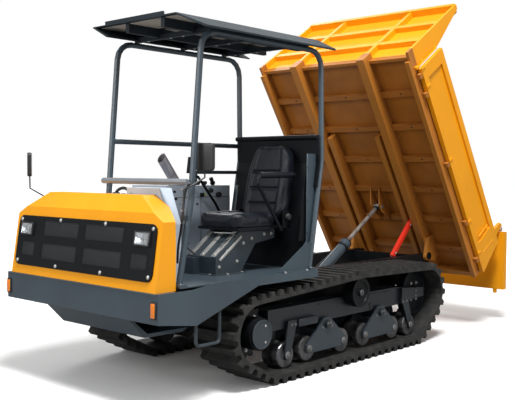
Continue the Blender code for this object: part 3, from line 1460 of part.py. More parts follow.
# The bed. Y here is minus the distance ahead of the hinge.
def bed():
    """Floor, sills, cross members, rails and headboard, welded."""
    half = BED_HALF_WIDTH
    floor = block((-half, half), (-FLOOR_FRONT, -FLOOR_REAR), (FLOOR_TOP - FLOOR_SHEET, FLOOR_TOP))
    piece = place("bed", floor, YELLOW, parent=bed_hinge)
    parts = []
    under = FLOOR_TOP - FLOOR_SHEET / 2
    for side in (1, -1):
        sill = mirrored((half - SILL_WIDTH, half - 0.001), side)
        parts.append(block(sill, (-FLOOR_FRONT + 0.002, -FLOOR_REAR - 0.001), (SILL_BOTTOM, under)))
        rail = (BED_RAIL_X - BED_RAIL_WIDTH / 2, BED_RAIL_X + BED_RAIL_WIDTH / 2)
        parts.append(block(mirrored(rail, side), (-HEAD_FRONT, -FLOOR_REAR - 0.03), (BED_RAIL_BOTTOM, under)))
        inner = (INNER_RAIL_X - INNER_RAIL_WIDTH / 2, INNER_RAIL_X + INNER_RAIL_WIDTH / 2)
        parts.append(block(mirrored(inner, side), (-INNER_RAIL_FRONT, 0.06), (BED_RAIL_BOTTOM + 0.01, under)))
        arm_x = (RAIL_OUTER_X + RUNNING_GAP, RAIL_OUTER_X + RUNNING_GAP + ARM_WIDTH)
        turns = [math.radians(degrees) for degrees in range(200, 361, 20)]
        arm = [
            (-0.16, BED_RAIL_BOTTOM + 0.045),
            (-0.075, 0.010),
            *[(0.046 * math.cos(turn), 0.046 * math.sin(turn)) for turn in turns],
            (0.13, BED_RAIL_BOTTOM + 0.045),
        ]
        hole = circle(0, 0, (HINGE_PIN_RADIUS + PIN_GAP) / math.cos(math.pi / FINE_SIDES), FINE_SIDES)
        parts.append(side_plate(arm, mirrored(arm_x, side), [hole]))
        bridge = (BED_RAIL_X + 0.02, RAIL_OUTER_X + RUNNING_GAP + ARM_WIDTH - 0.001)
        parts.append(block(mirrored(bridge, side), (-0.138, 0.106), (BED_RAIL_BOTTOM + 0.028, under - 0.003)))
    inside = (-half + 0.01, half - 0.01)
    for i in range(CROSS_COUNT):
        y = -i * CROSS_PITCH
        parts.append(block(inside, (y - CROSS_WIDTH / 2, y + CROSS_WIDTH / 2), (CROSS_BOTTOM, under - 0.001)))
    rear_member = (-FLOOR_REAR - 0.05, -FLOOR_REAR - 0.0015)
    parts.append(block(inside, rear_member, (SILL_BOTTOM + 0.02, under - 0.0015)))
    parts += headboard()
    parts += tail_posts()
    bracket = [
        (-EYE_AHEAD - 0.20, CROSS_BOTTOM + 0.02),
        (-EYE_AHEAD - 0.20, CROSS_BOTTOM - 0.01),
        (-EYE_AHEAD - 0.045, EYE_UP - 0.035),
        (-EYE_AHEAD + 0.045, EYE_UP - 0.035),
        (-EYE_AHEAD + 0.20, CROSS_BOTTOM - 0.01),
        (-EYE_AHEAD + 0.20, CROSS_BOTTOM + 0.02),
    ]
    for side in (1, -1):
        parts.append(side_plate(bracket, mirrored((RAM_PLATE_X, RAM_PLATE_X + RAM_PLATE), side)))
    return weld(piece, parts)


def headboard():
    """Front wall of the bed: sheet, three level ribs, two upright ribs and side gussets."""
    half = HEAD_HALF_WIDTH
    parts = []
    low = FLOOR_TOP - 0.07
    sheet = (-HEAD_SHEET_FRONT - 0.002, -HEAD_SHEET_FRONT + 0.026)
    parts.append(block((-half, half), sheet, (low, HEAD_TOP - 0.002)))
    rib = (-HEAD_FRONT + 0.004, -HEAD_SHEET_FRONT + 0.01)
    for z in (0.40, 0.75):
        parts.append(block((-half + 0.01, half - 0.01), rib, (z - 0.030, z + 0.030)))
    rim = (-HEAD_FRONT - 0.012, -HEAD_SHEET_FRONT + 0.020)
    parts.append(block((-half + 0.001, half - 0.001), rim, (HEAD_TOP - 0.050, HEAD_TOP)))
    upright = (-HEAD_FRONT + 0.001, -HEAD_SHEET_FRONT + 0.012)
    for x in (-BED_RAIL_X, BED_RAIL_X):
        span = (BED_RAIL_BOTTOM + 0.02, HEAD_TOP - 0.003)
        parts.append(block((x - 0.020, x + 0.020), upright, span))
    gusset = [
        (-HEAD_FRONT - 0.002, low - 0.02),
        (-GATE_FRONT - 0.018, low - 0.02),
        (-GATE_FRONT - 0.018, GATE_TOP + 0.02),
        (-HEAD_SHEET_FRONT - 0.01, HEAD_TOP - 0.001),
        (-HEAD_FRONT - 0.002, HEAD_TOP - 0.001),
    ]
    for side in (1, -1):
        parts.append(side_plate(gusset, mirrored((half - 0.012, BED_HALF_WIDTH), side)))
    return parts


def tail_posts():
    """Rear corner posts that lean back and carry the tailgate's hinges."""
    parts = []
    run = math.tan(TAIL_LEAN)
    foot_up = SILL_BOTTOM + 0.02
    foot_y = -TAIL_HINGE_AHEAD + (TAIL_HINGE_UP - foot_up) * run - 0.026
    top_y = -TAIL_HINGE_AHEAD - 0.026
    line = [
        (foot_y - POST_WIDTH, foot_up),
        (min(foot_y, -FLOOR_REAR - 0.002), foot_up),
        (top_y + 0.004, TAIL_HINGE_UP - 0.03),
        (top_y + 0.004, TAIL_HINGE_UP + 0.035),
        (top_y - POST_WIDTH * 0.7, TAIL_HINGE_UP + 0.02),
        (top_y - POST_WIDTH, TAIL_HINGE_UP - 0.15),
    ]
    for side in (1, -1):
        post = mirrored((BED_HALF_WIDTH - POST_THICKNESS, BED_HALF_WIDTH - 0.0005), side)
        parts.append(side_plate(line, post))
        parts.append(rod_x(TAIL_EAR, post, -TAIL_HINGE_AHEAD, TAIL_HINGE_UP))
    return parts


def side_gate(name, side):
    """Drop side, hinged along its bottom edge."""
    run = math.tan(TAIL_LEAN)
    outer = (GATE_OUTER_X - GATE_THICKNESS, GATE_OUTER_X)
    rear_top = -GATE_REAR_LOW - (GATE_TOP - GATE_BOTTOM) * run
    outline = [
        (-GATE_FRONT, GATE_BOTTOM),
        (-GATE_REAR_LOW, GATE_BOTTOM),
        (rear_top, GATE_TOP),
        (-GATE_FRONT, GATE_TOP),
    ]
    origin = (side * (GATE_OUTER_X - GATE_THICKNESS / 2), 0, GATE_BOTTOM - GATE_HINGE_DROP)
    piece = place(name, side_plate(outline, mirrored(outer, side)), YELLOW, origin, bed_hinge)
    margin = 0.075
    sink = [
        (-GATE_FRONT + margin * 1.6, GATE_BOTTOM + margin),
        (-GATE_REAR_LOW - margin * 4.2, GATE_BOTTOM + margin),
        (-GATE_REAR_LOW - margin * 4.2, GATE_TOP - margin),
        (-GATE_FRONT + margin * 1.6, GATE_TOP - margin),
    ]
    cut(piece, [side_plate(sink, mirrored((GATE_OUTER_X - 0.018, GATE_OUTER_X + 0.05), side))])
    return piece


def gate_knuckles(side):
    """Round hinge knuckles that stand out from the sill under a side gate."""
    parts = []
    middle = GATE_OUTER_X - GATE_THICKNESS / 2
    axis_up = GATE_BOTTOM - GATE_HINGE_DROP
    x = side * middle
    web = mirrored((BED_HALF_WIDTH - 0.02, middle), side)
    for ahead in (1.93, 1.74, 1.0, 0.33, -0.12):
        knuckle = bar((x, -ahead - 0.022, axis_up), (x, -ahead + 0.022, axis_up), GATE_HINGE_DROP - TOUCH_GAP)
        parts.append(knuckle)
        parts.append(block(web, (-ahead - 0.020, -ahead + 0.020), (axis_up - 0.012, axis_up + 0.008)))
    return parts


def tailgate():
    """Hangs plumb from its top hinge while the bed is up."""
    half = TAIL_HALF_WIDTH
    sheet = TAIL_THICKNESS / 2
    origin = (0, -TAIL_HINGE_AHEAD, TAIL_HINGE_UP)
    skin = block((-half, half), (-sheet, sheet), (-TAIL_LENGTH, -0.026))
    piece = place("tailgate", skin, YELLOW)
    piece.location = origin
    piece.parent = bed_hinge
    piece.rotation_euler = (BED_TILT, 0, 0)
    return piece


def tailgate_details(piece):
    """Hinge tube, stiffening frame and the catch loops along the bottom edge."""
    half = TAIL_HALF_WIDTH
    sheet = TAIL_THICKNESS / 2
    shift = Matrix.Translation((0, -TAIL_HINGE_AHEAD, TAIL_HINGE_UP)) @ Matrix.Rotation(BED_TILT, 4, "X")
    inside = BED_HALF_WIDTH - POST_THICKNESS - TOUCH_GAP
    meshes = [rod_x(0.018, (-inside, inside), 0, 0, 12)]
    for side in (1, -1):
        edge = mirrored((half - 0.05, half - 0.001), side)
        meshes.append(block(edge, (-sheet + 0.001, sheet + 0.032), (-TAIL_LENGTH + 0.001, -0.031)))
        catch = mirrored((half - 0.12, half - 0.085), side)
        meshes.append(block(catch, (-0.012, 0.012), (-TAIL_LENGTH - 0.042, -TAIL_LENGTH + 0.01)))
    meshes.append(block((-half + 0.002, half - 0.002), (0.001, sheet + 0.018), (-0.115, -0.060)))
    foot = (-TAIL_LENGTH + 0.002, -TAIL_LENGTH + 0.055)
    meshes.append(block((-half + 0.002, half - 0.002), (0.002, sheet + 0.018), foot))
    meshes.append(block((-inside + 0.010, inside - 0.010), (-sheet + 0.005, sheet - 0.004), (-0.03, -0.001)))
    for mesh in meshes:
        mesh.transform(shift)
    return weld(piece, meshes)


def ram():
    """Two-piece hydraulic ram: the rod's eye is on the bed, the barrel's foot pin on the chassis."""
    eye = Vector((0, *raised(EYE_AHEAD, EYE_UP)))
    foot = Vector((0, RAM_FOOT_Y, RAM_FOOT_Z))
    along = (eye - foot).normalized()
    tube_body = bar(foot, foot + along * BARREL_LENGTH, BARREL_RADIUS, 20)
    barrel = place("ram_barrel", tube_body, SLATE, tuple(foot))
    pin_half = RAM_PLATE_X + 0.012 - TOUCH_GAP
    gland = (foot + along * (BARREL_LENGTH - 0.05), foot + along * (BARREL_LENGTH + 0.012))
    weld(
        barrel,
        [
            rod_x(0.055, (-0.040, 0.040), foot.y, foot.z, 20),
            rod_x(0.022, (-pin_half, pin_half), foot.y, foot.z),
            bar(*gland, BARREL_RADIUS + 0.006, 20),
        ],
    )
    bore = bar(foot + along * 0.075, foot + along * (BARREL_LENGTH + 0.05), ROD_RADIUS + 0.0015, 16)
    cut(barrel, [bore])
    rod = place("ram_rod", bar(foot + along * 0.60, eye, ROD_RADIUS, 16), STEEL, tuple(eye))
    eye_half = RAM_PLATE_X - TOUCH_GAP
    ring = rod_x(0.034, (-0.030, 0.030), eye.y, eye.z)
    pin = rod_x(0.016, (-eye_half, eye_half), eye.y, eye.z)
    weld(rod, [ring, pin])
    piston = bar(foot + along * 0.545, foot + along * 0.61, ROD_RADIUS, 16)
    return weld_more(rod, [piston])


def safety_prop():
    """Red strut that holds the raised bed; it folds up under the floor as the bed goes down."""
    top = Vector((0, *raised(PROP_AHEAD, PROP_UP)))
    fall = Vector((0, -math.cos(PROP_FALL), -math.sin(PROP_FALL)))
    x_span = prop_span()
    middle = sum(x_span) / 2
    shape = block((x_span[0], x_span[1]), (-0.02, PROP_LENGTH), (-PROP_DEPTH / 2, PROP_DEPTH / 2))
    turn = Matrix.Rotation(math.pi + PROP_FALL, 4, "X")
    shape.transform(Matrix.Translation((0, top.y, top.z)) @ turn)
    piece = place("safety_prop", shape, RED, (middle, top.y, top.z))
    pin = (INNER_RAIL_X + INNER_RAIL_WIDTH / 2 + TOUCH_GAP, BED_RAIL_X - BED_RAIL_WIDTH / 2 - TOUCH_GAP)
    return weld(piece, [rod_x(0.014, pin, top.y, top.z)])


for word, side in (("left", 1), ("right", -1)):
    track("track_" + word, side)
    track_frame("track_frame_" + word, side)
    drive_sprocket("drive_sprocket_" + word, side)
    idler("idler_" + word, side)
    carrier_roller("carrier_roller_" + word, side)
    roller("front_roller_" + word, side, FRONT_ROLLER_Y, roller_z())
    roller("rear_roller_" + word, side, REAR_ROLLER_Y, roller_z())
    for place_word, bogie_y in zip(("front", "rear"), BOGIE_Y):
        bogie(f"{place_word}_bogie_{word}", side, bogie_y)
        for number, shift in ((1, -BOGIE_REACH), (2, BOGIE_REACH)):
            roller(f"{place_word}_bogie_roller_{number}_{word}", side, bogie_y + shift, bogie_roller_z())
    turn_lamp("turn_lamp_" + word, side)
    headlamp("headlamp_" + word, side)
    side_gate("side_gate_" + word, side)

chassis()
deck()
skirt()
boarding_step()
hood()
grille()
engine_cover()
power_pack()
exhaust()
near_hoop()
far_hoop()
front_rail()
roof()
guard_panel()
seat_pedestal()
seat_pan()
seat_cushion()
seat_back()
armrest()
levers()
mirrors()
weld_more(bed(), gate_knuckles(1) + gate_knuckles(-1))
tailgate_details(tailgate())
ram()
safety_prop()

for piece in carrier.objects:
    if piece.type == "MESH":
        piece.data.shade_smooth()
        piece.data.set_sharp_from_angle(angle=math.radians(35))
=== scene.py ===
"""A crawler carrier with its bed tipped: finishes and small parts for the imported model."""

import math

import bmesh
import bpy
from mathutils import Matrix, Vector


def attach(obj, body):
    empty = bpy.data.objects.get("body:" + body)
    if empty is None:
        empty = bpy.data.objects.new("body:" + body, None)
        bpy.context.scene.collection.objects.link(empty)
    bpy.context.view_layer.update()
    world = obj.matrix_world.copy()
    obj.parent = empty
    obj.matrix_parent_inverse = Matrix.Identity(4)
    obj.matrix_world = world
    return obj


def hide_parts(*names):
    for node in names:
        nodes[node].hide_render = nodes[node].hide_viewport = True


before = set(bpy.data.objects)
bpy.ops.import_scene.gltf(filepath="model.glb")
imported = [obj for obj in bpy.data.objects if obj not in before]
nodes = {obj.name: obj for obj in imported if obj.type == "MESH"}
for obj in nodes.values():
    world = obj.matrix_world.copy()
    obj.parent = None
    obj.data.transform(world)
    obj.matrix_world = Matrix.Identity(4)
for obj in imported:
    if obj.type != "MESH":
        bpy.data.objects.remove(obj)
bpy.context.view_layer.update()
scene = bpy.context.scene
scene.view_settings.view_transform = "Standard"

# The stand of the camera
# A long lens at chest height looks at the front corner on the driver's side, a little
# below level, from about seven metres away.
def turned(place, axis, degrees):
    """Goes to a place and turns about an axis there."""
    return Matrix.Translation(place) @ Matrix.Rotation(math.radians(degrees), 4, axis)


aim, dip, roll = 42.063, 2.004, 0.36
level = turned((4.738, -5.774, 1.563), "Z", aim) @ turned((0, 0, 0), "X", 90 - dip)
lens = bpy.data.cameras.new("viewpoint")
lens.sensor_width = 36
lens.lens = 57.353
lens.clip_end = 200
viewpoint = bpy.data.objects.new("viewpoint", lens)
viewpoint.matrix_world = level @ turned((0, 0, 0), "Z", roll)
scene.collection.objects.link(viewpoint)
scene.camera = viewpoint


# The room
# A pale floor runs out to a white surround. Four broad lamps and the surround light the
# machine: a strong one above the driver's side, and weaker ones ahead, beside and behind.
class Link:
    """A value in a finish's nodes, so that shader maths is written as a sum."""

    def __init__(self, finish, socket):
        self.finish = finish
        self.socket = socket

    def worked(self, operation, *values):
        return self.finish.node("ShaderNodeMath", {"operation": operation}, values)

    def __add__(self, other):
        return self.worked("ADD", self, other)

    def __sub__(self, other):
        return self.worked("SUBTRACT", self, other)

    def __rsub__(self, other):
        return self.worked("SUBTRACT", other, self)

    def __mul__(self, other):
        return self.worked("MULTIPLY", self, other)

    __radd__ = __add__
    __rmul__ = __mul__

    def wave(self, count):
        """A sine of the value, with so many radians to each unit."""
        return self.worked("SINE", self * count)

    def limited(self, low=0.0, high=1.0):
        """The value stretched so that low becomes 0 and high becomes 1, and held there."""
        return self.finish.node("ShaderNodeMapRange", {"clamp": True}, (self, low, high, 0, 1))


class Finish:
    """A node material, built round one Principled shader."""

    def __init__(self, name, **shader):
        self.material = bpy.data.materials.new(name)
        self.material.use_nodes = True
        self.tree = self.material.node_tree
        self.shader = self.tree.nodes["Principled BSDF"]
        self.set(**shader)

    def set(self, **shader):
        for name, value in shader.items():
            self.feed(self.shader.inputs[name.replace("_", " ").title().replace("Ior", "IOR")], value)

    def feed(self, socket, value):
        if isinstance(value, Link):
            self.tree.links.new(value.socket, socket)
        elif socket.type == "RGBA":
            socket.default_value = (*value, 1)
        else:
            socket.default_value = value

    def node(self, kind, settings=None, inputs=(), output=0):
        made = self.tree.nodes.new(kind)
        for name, value in (settings or {}).items():
            setattr(made, name, value)
        given = inputs.items() if isinstance(inputs, dict) else enumerate(inputs)
        for name, value in given:
            self.feed(made.inputs[name], value)
        return Link(self, made.outputs[output])

    def place(self, output="Object"):
        return self.node("ShaderNodeTexCoord", output=output)

    def part(self, axis, output="Object"):
        return self.node("ShaderNodeSeparateXYZ", inputs=(self.place(output),), output="XYZ".index(axis))

    def noise(self, scale, detail=3, stretch=(1, 1, 1)):
        spread = self.node("ShaderNodeMapping", inputs={"Vector": self.place(), "Scale": stretch})
        return self.node("ShaderNodeTexNoise", inputs={"Vector": spread, "Scale": scale, "Detail": detail})

    def cells(self, scale, feature):
        inputs = {"Vector": self.place(), "Scale": scale}
        return self.node("ShaderNodeTexVoronoi", {"feature": feature}, inputs)

    def mix(self, share, first, second):
        return self.node("ShaderNodeMix", {"data_type": "RGBA"}, {0: share, 6: first, 7: second}, output=2)

    def bump(self, height, distance, strength=1.0, under=None):
        inputs = {"Height": height, "Distance": distance, "Strength": strength}
        if under:
            inputs["Normal"] = under
        return self.node("ShaderNodeBump", inputs=inputs)


def stand_in_scene(name, shape):
    """Makes a shape an object in the scene."""
    mesh = bpy.data.meshes.new(name)
    shape.to_mesh(mesh)
    shape.free()
    piece = bpy.data.objects.new(name, mesh)
    scene.collection.objects.link(piece)
    return piece


floor_paint = Finish("pale_floor", roughness=0.9)
speckle = floor_paint.noise(3, 5)
watched = floor_paint.node("ShaderNodeLightPath", output="Is Camera Ray")
pale_seen = floor_paint.mix(speckle, (0.93, 0.93, 0.925), (0.97, 0.97, 0.965))
floor_paint.set(base_color=floor_paint.mix(watched, (0.3, 0.3, 0.3), pale_seen))
reach = floor_paint.node("ShaderNodeVectorMath", {"operation": "LENGTH"}, (floor_paint.place(),), output=1)
glow = reach.limited(2.6, 8.0) * watched
floor_paint.set(emission_color=floor_paint.mix(glow, (0, 0, 0), (1, 1, 1)), emission_strength=0.9)
ground = bmesh.new()
bmesh.ops.create_grid(ground, x_segments=2, y_segments=2, size=60)
floor = stand_in_scene("floor", ground)
floor.data.materials.append(floor_paint.material)

room = bpy.data.worlds.new("room")
room.use_nodes = True
scene.world = room
sky = room.node_tree.nodes
air = sky["Background"]
air.inputs["Color"].default_value = (1, 1, 1, 1)
air.inputs["Strength"].default_value = 0.34
seen_air = sky.new("ShaderNodeBackground")
seen_air.inputs["Color"].default_value = (1, 1, 1, 1)
chooser = sky.new("ShaderNodeMixShader")
path = sky.new("ShaderNodeLightPath")
seen = sky.new("ShaderNodeMath")
seen.operation = "MAXIMUM"
wire = room.node_tree.links.new
wire(path.outputs["Is Camera Ray"], seen.inputs[0])
wire(path.outputs["Is Transmission Ray"], seen.inputs[1])
wire(seen.outputs[0], chooser.inputs[0])
wire(air.outputs[0], chooser.inputs[1])
wire(seen_air.outputs[0], chooser.inputs[2])
wire(chooser.outputs[0], sky["World Output"].inputs["Surface"])


def lamp(name, place, target, size, power):
    """A square soft lamp that points at a place on the machine."""
    data = bpy.data.lights.new(name, "AREA")
    data.size = size
    data.energy = power
    made = bpy.data.objects.new(name, data)
    made.location = place
    made.rotation_euler = (Vector(target) - Vector(place)).to_track_quat("-Z", "Y").to_euler()
    scene.collection.objects.link(made)


lamp("key_lamp", (3.6, -3.2, 9.0), (0, -0.4, 0.8), 2.4, 1150)
lamp("front_lamp", (-1.0, -9.0, 4.2), (0, -1.5, 1.0), 4.0, 300)
lamp("side_lamp", (8.5, 1.5, 3.0), (0.5, 0.0, 1.0), 3.5, 150)
lamp("rear_lamp", (-5.0, 5.0, 5.5), (0, 0.5, 1.5), 4.0, 240)

# The slate-grey frames
# Welded plate sprayed with a satin blue-grey enamel: deck, skirt, canopy and ram barrel. The
# bogies, seat stand and step are darker, and the track frames nearly black. Dust lies on what
# faces up and mud splash low down.
pale_dust = (0.42, 0.37, 0.3)


def enamel(name, colour, gloss=0.42, coat=0.15, dust=0.25, dust_colour=pale_dust, shade=0.72, shine=0.5):
    """Sprayed enamel: its tone drifts, dust settles on upward faces and splash rises from the ground."""
    made = Finish(name, specular_ior_level=shine)
    drift = made.noise(1.7, 4)
    deep = tuple(value * shade for value in colour)
    tone = made.mix(drift.limited(0.3, 0.7), deep, colour)
    fine = made.noise(38, 6)
    runs = made.noise(9, 4, (1, 1, 0.12))
    upward = made.part("Z", "Normal").limited(0.35, 1.0)
    splash = (1 - made.part("Z").limited(0.1, 0.85)) * fine.limited(0.42, 0.66)
    settled = upward * fine.limited(0.3, 0.75)
    streaks = runs.limited(0.56, 0.8) * 0.35
    soiled = ((settled + splash + streaks) * dust).limited()
    made.tone = made.mix(soiled, tone, dust_colour)
    made.set(base_color=made.tone, coat_weight=(1 - soiled) * coat, coat_roughness=0.12)
    made.set(roughness=(fine * 0.1 + soiled * 0.45 + (gloss - 0.05)).limited())
    waves = made.bump(made.noise(5, 2), 0.004, 0.35)
    made.set(normal=made.bump(made.noise(420, 2), 0.0002, 0.3, waves))
    return made


def carried(finish, slot, *names):
    """A node of the frame keeps its shape and takes a finish."""
    for name in names:
        nodes[name].data.materials.clear()
        nodes[name].data.materials.append(finish.material)


def sides(*names):
    return [f"{name}_{side}" for name in names for side in ("left", "right")]


slate = enamel("slate_enamel", (0.044, 0.067, 0.086), dust=0.07, dust_colour=(0.2, 0.19, 0.17))
carried(slate, "slate_paint", *sides("canopy_hoop"), "deck", "skirt", "ram_barrel")
mid_slate = enamel(
    "mid_slate_enamel", (0.026, 0.038, 0.048), coat=0.08, dust=0.06, dust_colour=(0.16, 0.15, 0.14)
)
carried(mid_slate, "slate_paint", *sides("front_bogie", "rear_bogie"), "seat_pedestal", "boarding_step")
dark_slate = enamel(
    "dark_slate_enamel", (0.012, 0.018, 0.023), coat=0.05, dust=0.05, dust_colour=(0.12, 0.11, 0.1)
)
carried(dark_slate, "slate_paint", *sides("track_frame"))
roof_slate = enamel("roof_enamel", (0.018, 0.028, 0.036), gloss=0.62, coat=0.0, dust=0.02, shine=0.25)
carried(roof_slate, "slate_paint", "canopy_roof")

# The dark frames
# Parts that are sprayed near-black: the chassis, wheels, guard, grille plate, levers and
# mirror shells.
soot_grey = (0.1, 0.1, 0.1)
black = enamel(
    "black_enamel", (0.0035, 0.0045, 0.006), 0.46, coat=0.0, dust=0.04, dust_colour=soot_grey, shine=0.22
)
carried(black, "dark_paint", *sides("drive_sprocket", "idler", "carrier_roller", "mirror"))
carried(black, "dark_paint", "chassis_frame", "grille_panel", "power_pack", "guard_panel", "seat_pan")
carried(black, "dark_paint", "travel_lever", "dump_lever", "armrest")

# The rubber belts
# Each belt is moulded in one ring with lugs outside and rollers' paths inside. The rubber is
# dull black, greyed by dust on the lugs' tops and in the corners.
belt_rubber = Finish("belt_rubber", roughness=0.75)
pores = belt_rubber.noise(220, 5)
grime = belt_rubber.noise(14, 6)
worn = belt_rubber.mix(grime.limited(0.4, 0.72), (0.008, 0.008, 0.008), (0.032, 0.03, 0.027))
belt_rubber.set(base_color=worn, roughness=grime * 0.2 + 0.62)
belt_rubber.set(normal=belt_rubber.bump(pores, 0.0008, 0.5, belt_rubber.bump(grime, 0.003, 0.4)))
carried(belt_rubber, "rubber", *sides("track"))

# The running gear
# Forged steel rollers are worn bright in patches and dark with grease and dust in others.
# The ram's rod is hard chromed, and the stack is plain steel, dulled by heat.
def bare_metal(name, bright, dull, roughness=0.38, turned=0.35):
    """Bare steel with dulled patches and fine turning marks."""
    made = Finish(name, metallic=1.0)
    patches = made.noise(11, 5)
    stain = patches.limited(0.38, 0.68)
    scratches = made.noise(90, 2, (0.15, 1, 1))
    made.set(base_color=made.mix(stain, bright, dull), metallic=1 - stain * 0.55)
    made.set(roughness=stain * 0.25 + scratches * 0.12 + (roughness - 0.06))
    made.set(normal=made.bump(scratches, 0.0004, turned))
    return made


roller_steel = bare_metal("roller_steel", (0.2, 0.2, 0.21), (0.045, 0.043, 0.04))
rod_steel = bare_metal("rod_steel", (0.46, 0.43, 0.4), (0.28, 0.25, 0.22), 0.2, 0.05)
stack_steel = bare_metal("stack_steel", (0.52, 0.51, 0.55), (0.34, 0.32, 0.35), 0.45)
bogie_rollers = [f"{end}_bogie_roller_{number}" for end in ("front", "rear") for number in (1, 2)]
carried(roller_steel, "bare_steel", *sides("front_roller", "rear_roller", *bogie_rollers))
carried(rod_steel, "bare_steel", "ram_rod")
carried(stack_steel, "bare_steel", "exhaust_stack")

# The yellow bodywork
# Pressed and welded sheet in a warm orange-yellow gloss enamel: the hood and the bed with
# its drop sides and tailgate.
ochre_dust = (0.5, 0.36, 0.2)
glossy = {"gloss": 0.4, "coat": 0.12, "dust": 0.1, "dust_colour": ochre_dust, "shade": 0.9, "shine": 0.3}
yellow = enamel("yellow_enamel", (0.88, 0.35, 0.003), **glossy)
carried(yellow, "yellow_paint", "hood", "tailgate", *sides("side_gate"))

# The bed
# The same enamel. Its underside is painted brown: partly dried mud and oil that the belts
# throw up, partly painted shade under the tipped bed, darker up in the bays toward the floor and
# lighter on the rails' and members' lower edges. Loads have scraped the floor inside.
tip = 57
bed_hinge = Vector((0, 1.547, 0.717))
hinge_level = 1.6879
bed_yellow = enamel("bed_enamel", (0.86, 0.345, 0.003), **glossy)


def bed_height(output="Object"):
    """How far a place, or how much a face, lies along the normal of the tipped bed's floor."""
    return bed_yellow.part("Y", output) * 0.8387 + bed_yellow.part("Z", output) * 0.5446


def bed_layer(low, high):
    """Rises from 0 to 1 between two heights over the bed's hinge."""
    return bed_up.limited(hinge_level + low, hinge_level + high)


bed_up = bed_height()
# Painted shade: all of the bed below its floor plate takes the brown, which stands for the shade under the
# tipped bed together with mud.
shaded_underside = 1 - bed_layer(0.1975, 0.204)
# Painted shade and light: the brown darkens up in the bays toward the floor plate and is lighter on the
# rails' and members' lower edges.
depth = bed_layer(0.06, 0.2)
mud = bed_yellow.noise(4, 6).limited(0.3, 0.7)
caked_mud_and_shade = bed_yellow.mix(mud, (0.27, 0.092, 0.016), (0.4, 0.14, 0.024))
# The underside's brown: painted shade with dried mud mottled in it.
film = bed_yellow.mix(depth, (0.48, 0.18, 0.026), caked_mud_and_shade)
facing_up = bed_height("Normal")
floor_face = facing_up.limited(0.9, 0.98) * bed_layer(0.2045, 0.2055) * (1 - bed_layer(0.23, 0.26))
scored = bed_yellow.noise(26, 6, (1.0, 0.1, 0.16)).limited(0.5, 0.6)
rubbed = floor_face * (scored * 0.55 + bed_yellow.noise(3, 5).limited(0.46, 0.62) * 0.55).limited()
scraped = bed_yellow.mix(scored, (0.16, 0.13, 0.105), (0.36, 0.34, 0.32))
with_underside_shade = bed_yellow.mix(shaded_underside, bed_yellow.tone, film)
bed_yellow.set(base_color=bed_yellow.mix(rubbed, with_underside_shade, scraped), metallic=rubbed * scored * 0.7)
carried(bed_yellow, "yellow_paint", "bed")

# The engine's covers
# Pale blue-grey sheet covers between the hood and the seat.
pale = enamel("pale_enamel", (0.66, 0.75, 0.86), gloss=0.4, dust=0.1)
carried(pale, "pale_plastic", "engine_cover")

# The front rail
# A grey painted steel tube, bowed out in front of the canopy, which has no windscreen.
rail_grey = enamel("rail_enamel", (0.2, 0.22, 0.245), gloss=0.35, dust=0.08)
carried(rail_grey, "bare_steel", "front_rail")

# The red prop
# A steel strut in signal red that holds the bed up while someone works under it.
red = enamel("red_enamel", (0.8, 0.03, 0.012), gloss=0.34, coat=0.3, dust=0.08)
carried(red, "red_paint", "safety_prop")

# The track frames' fittings
# Axle caps and bolts hold the rollers' and bogies' pins in their side plates. Each cap is turned
# steel with a hexagon bolt in it, and the brackets are folded plate.
both_hands = (("left", 1), ("right", -1))


def shift(place, toward=(0, 0, 1), size=1.0):
    """Where a fitting made up the Z axis goes, to stand at a place and point toward a direction."""
    turn = Vector(toward).to_track_quat("Z", "Y").to_matrix().to_4x4()
    return Matrix.Translation(place) @ turn @ Matrix.Scale(size, 4)


def round_part(profile, steps=20):
    """A turned fitting: its (radius, height) profile is spun once about Z."""
    shape = bmesh.new()
    points = [shape.verts.new((radius, 0, height)) for radius, height in profile]
    line = [shape.edges.new(pair) for pair in zip(points, points[1:])]
    about = {"axis": (0, 0, 1), "cent": (0, 0, 0), "angle": math.tau}
    bmesh.ops.spin(shape, geom=points + line, steps=steps, use_merge=True, **about)
    bmesh.ops.remove_doubles(shape, verts=shape.verts, dist=1e-5)
    bmesh.ops.recalc_face_normals(shape, faces=shape.faces)
    return shape


def stamp(group, fitting, place=Matrix.Identity(4)):
    """Adds a copy of one fitting to a group."""
    copy = bpy.data.meshes.new("copy")
    fitting.to_mesh(copy)
    copy.transform(place)
    group.from_mesh(copy)
    bpy.data.meshes.remove(copy)


def span(hand, near, far):
    """The limits along X of what lies between two distances on one side."""
    return sorted((hand * near, hand * far))


def cuboid(size):
    """A box about the origin."""
    shape = bmesh.new()
    bmesh.ops.create_cube(shape, size=1, matrix=Matrix.Diagonal((*size, 1)))
    return shape


def edges_along(shape, axis, least):
    """The edges that run along an axis, by at least so much."""
    return [edge for edge in shape.edges if abs(edge.verts[0].co[axis] - edge.verts[1].co[axis]) > least]


def soften_edges(shape, edges, offset, steps):
    """Rounds or chamfers some edges of a shape."""
    kind = {"offset_type": "OFFSET", "profile": 0.5, "affect": "EDGES", "material": -1}
    bmesh.ops.bevel(shape, geom=edges, offset=offset, segments=steps, **kind)


def add_block(group, x, y, z, edge=0.002, place=Matrix.Identity(4)):
    """Adds a block with softened edges, given its limits."""
    shape = cuboid([abs(far - near) for near, far in (x, y, z)])
    soften_edges(shape, shape.edges[:], edge, 2)
    middle = [(near + far) / 2 for near, far in (x, y, z)]
    stamp(group, shape, place @ Matrix.Translation(middle))
    shape.free()


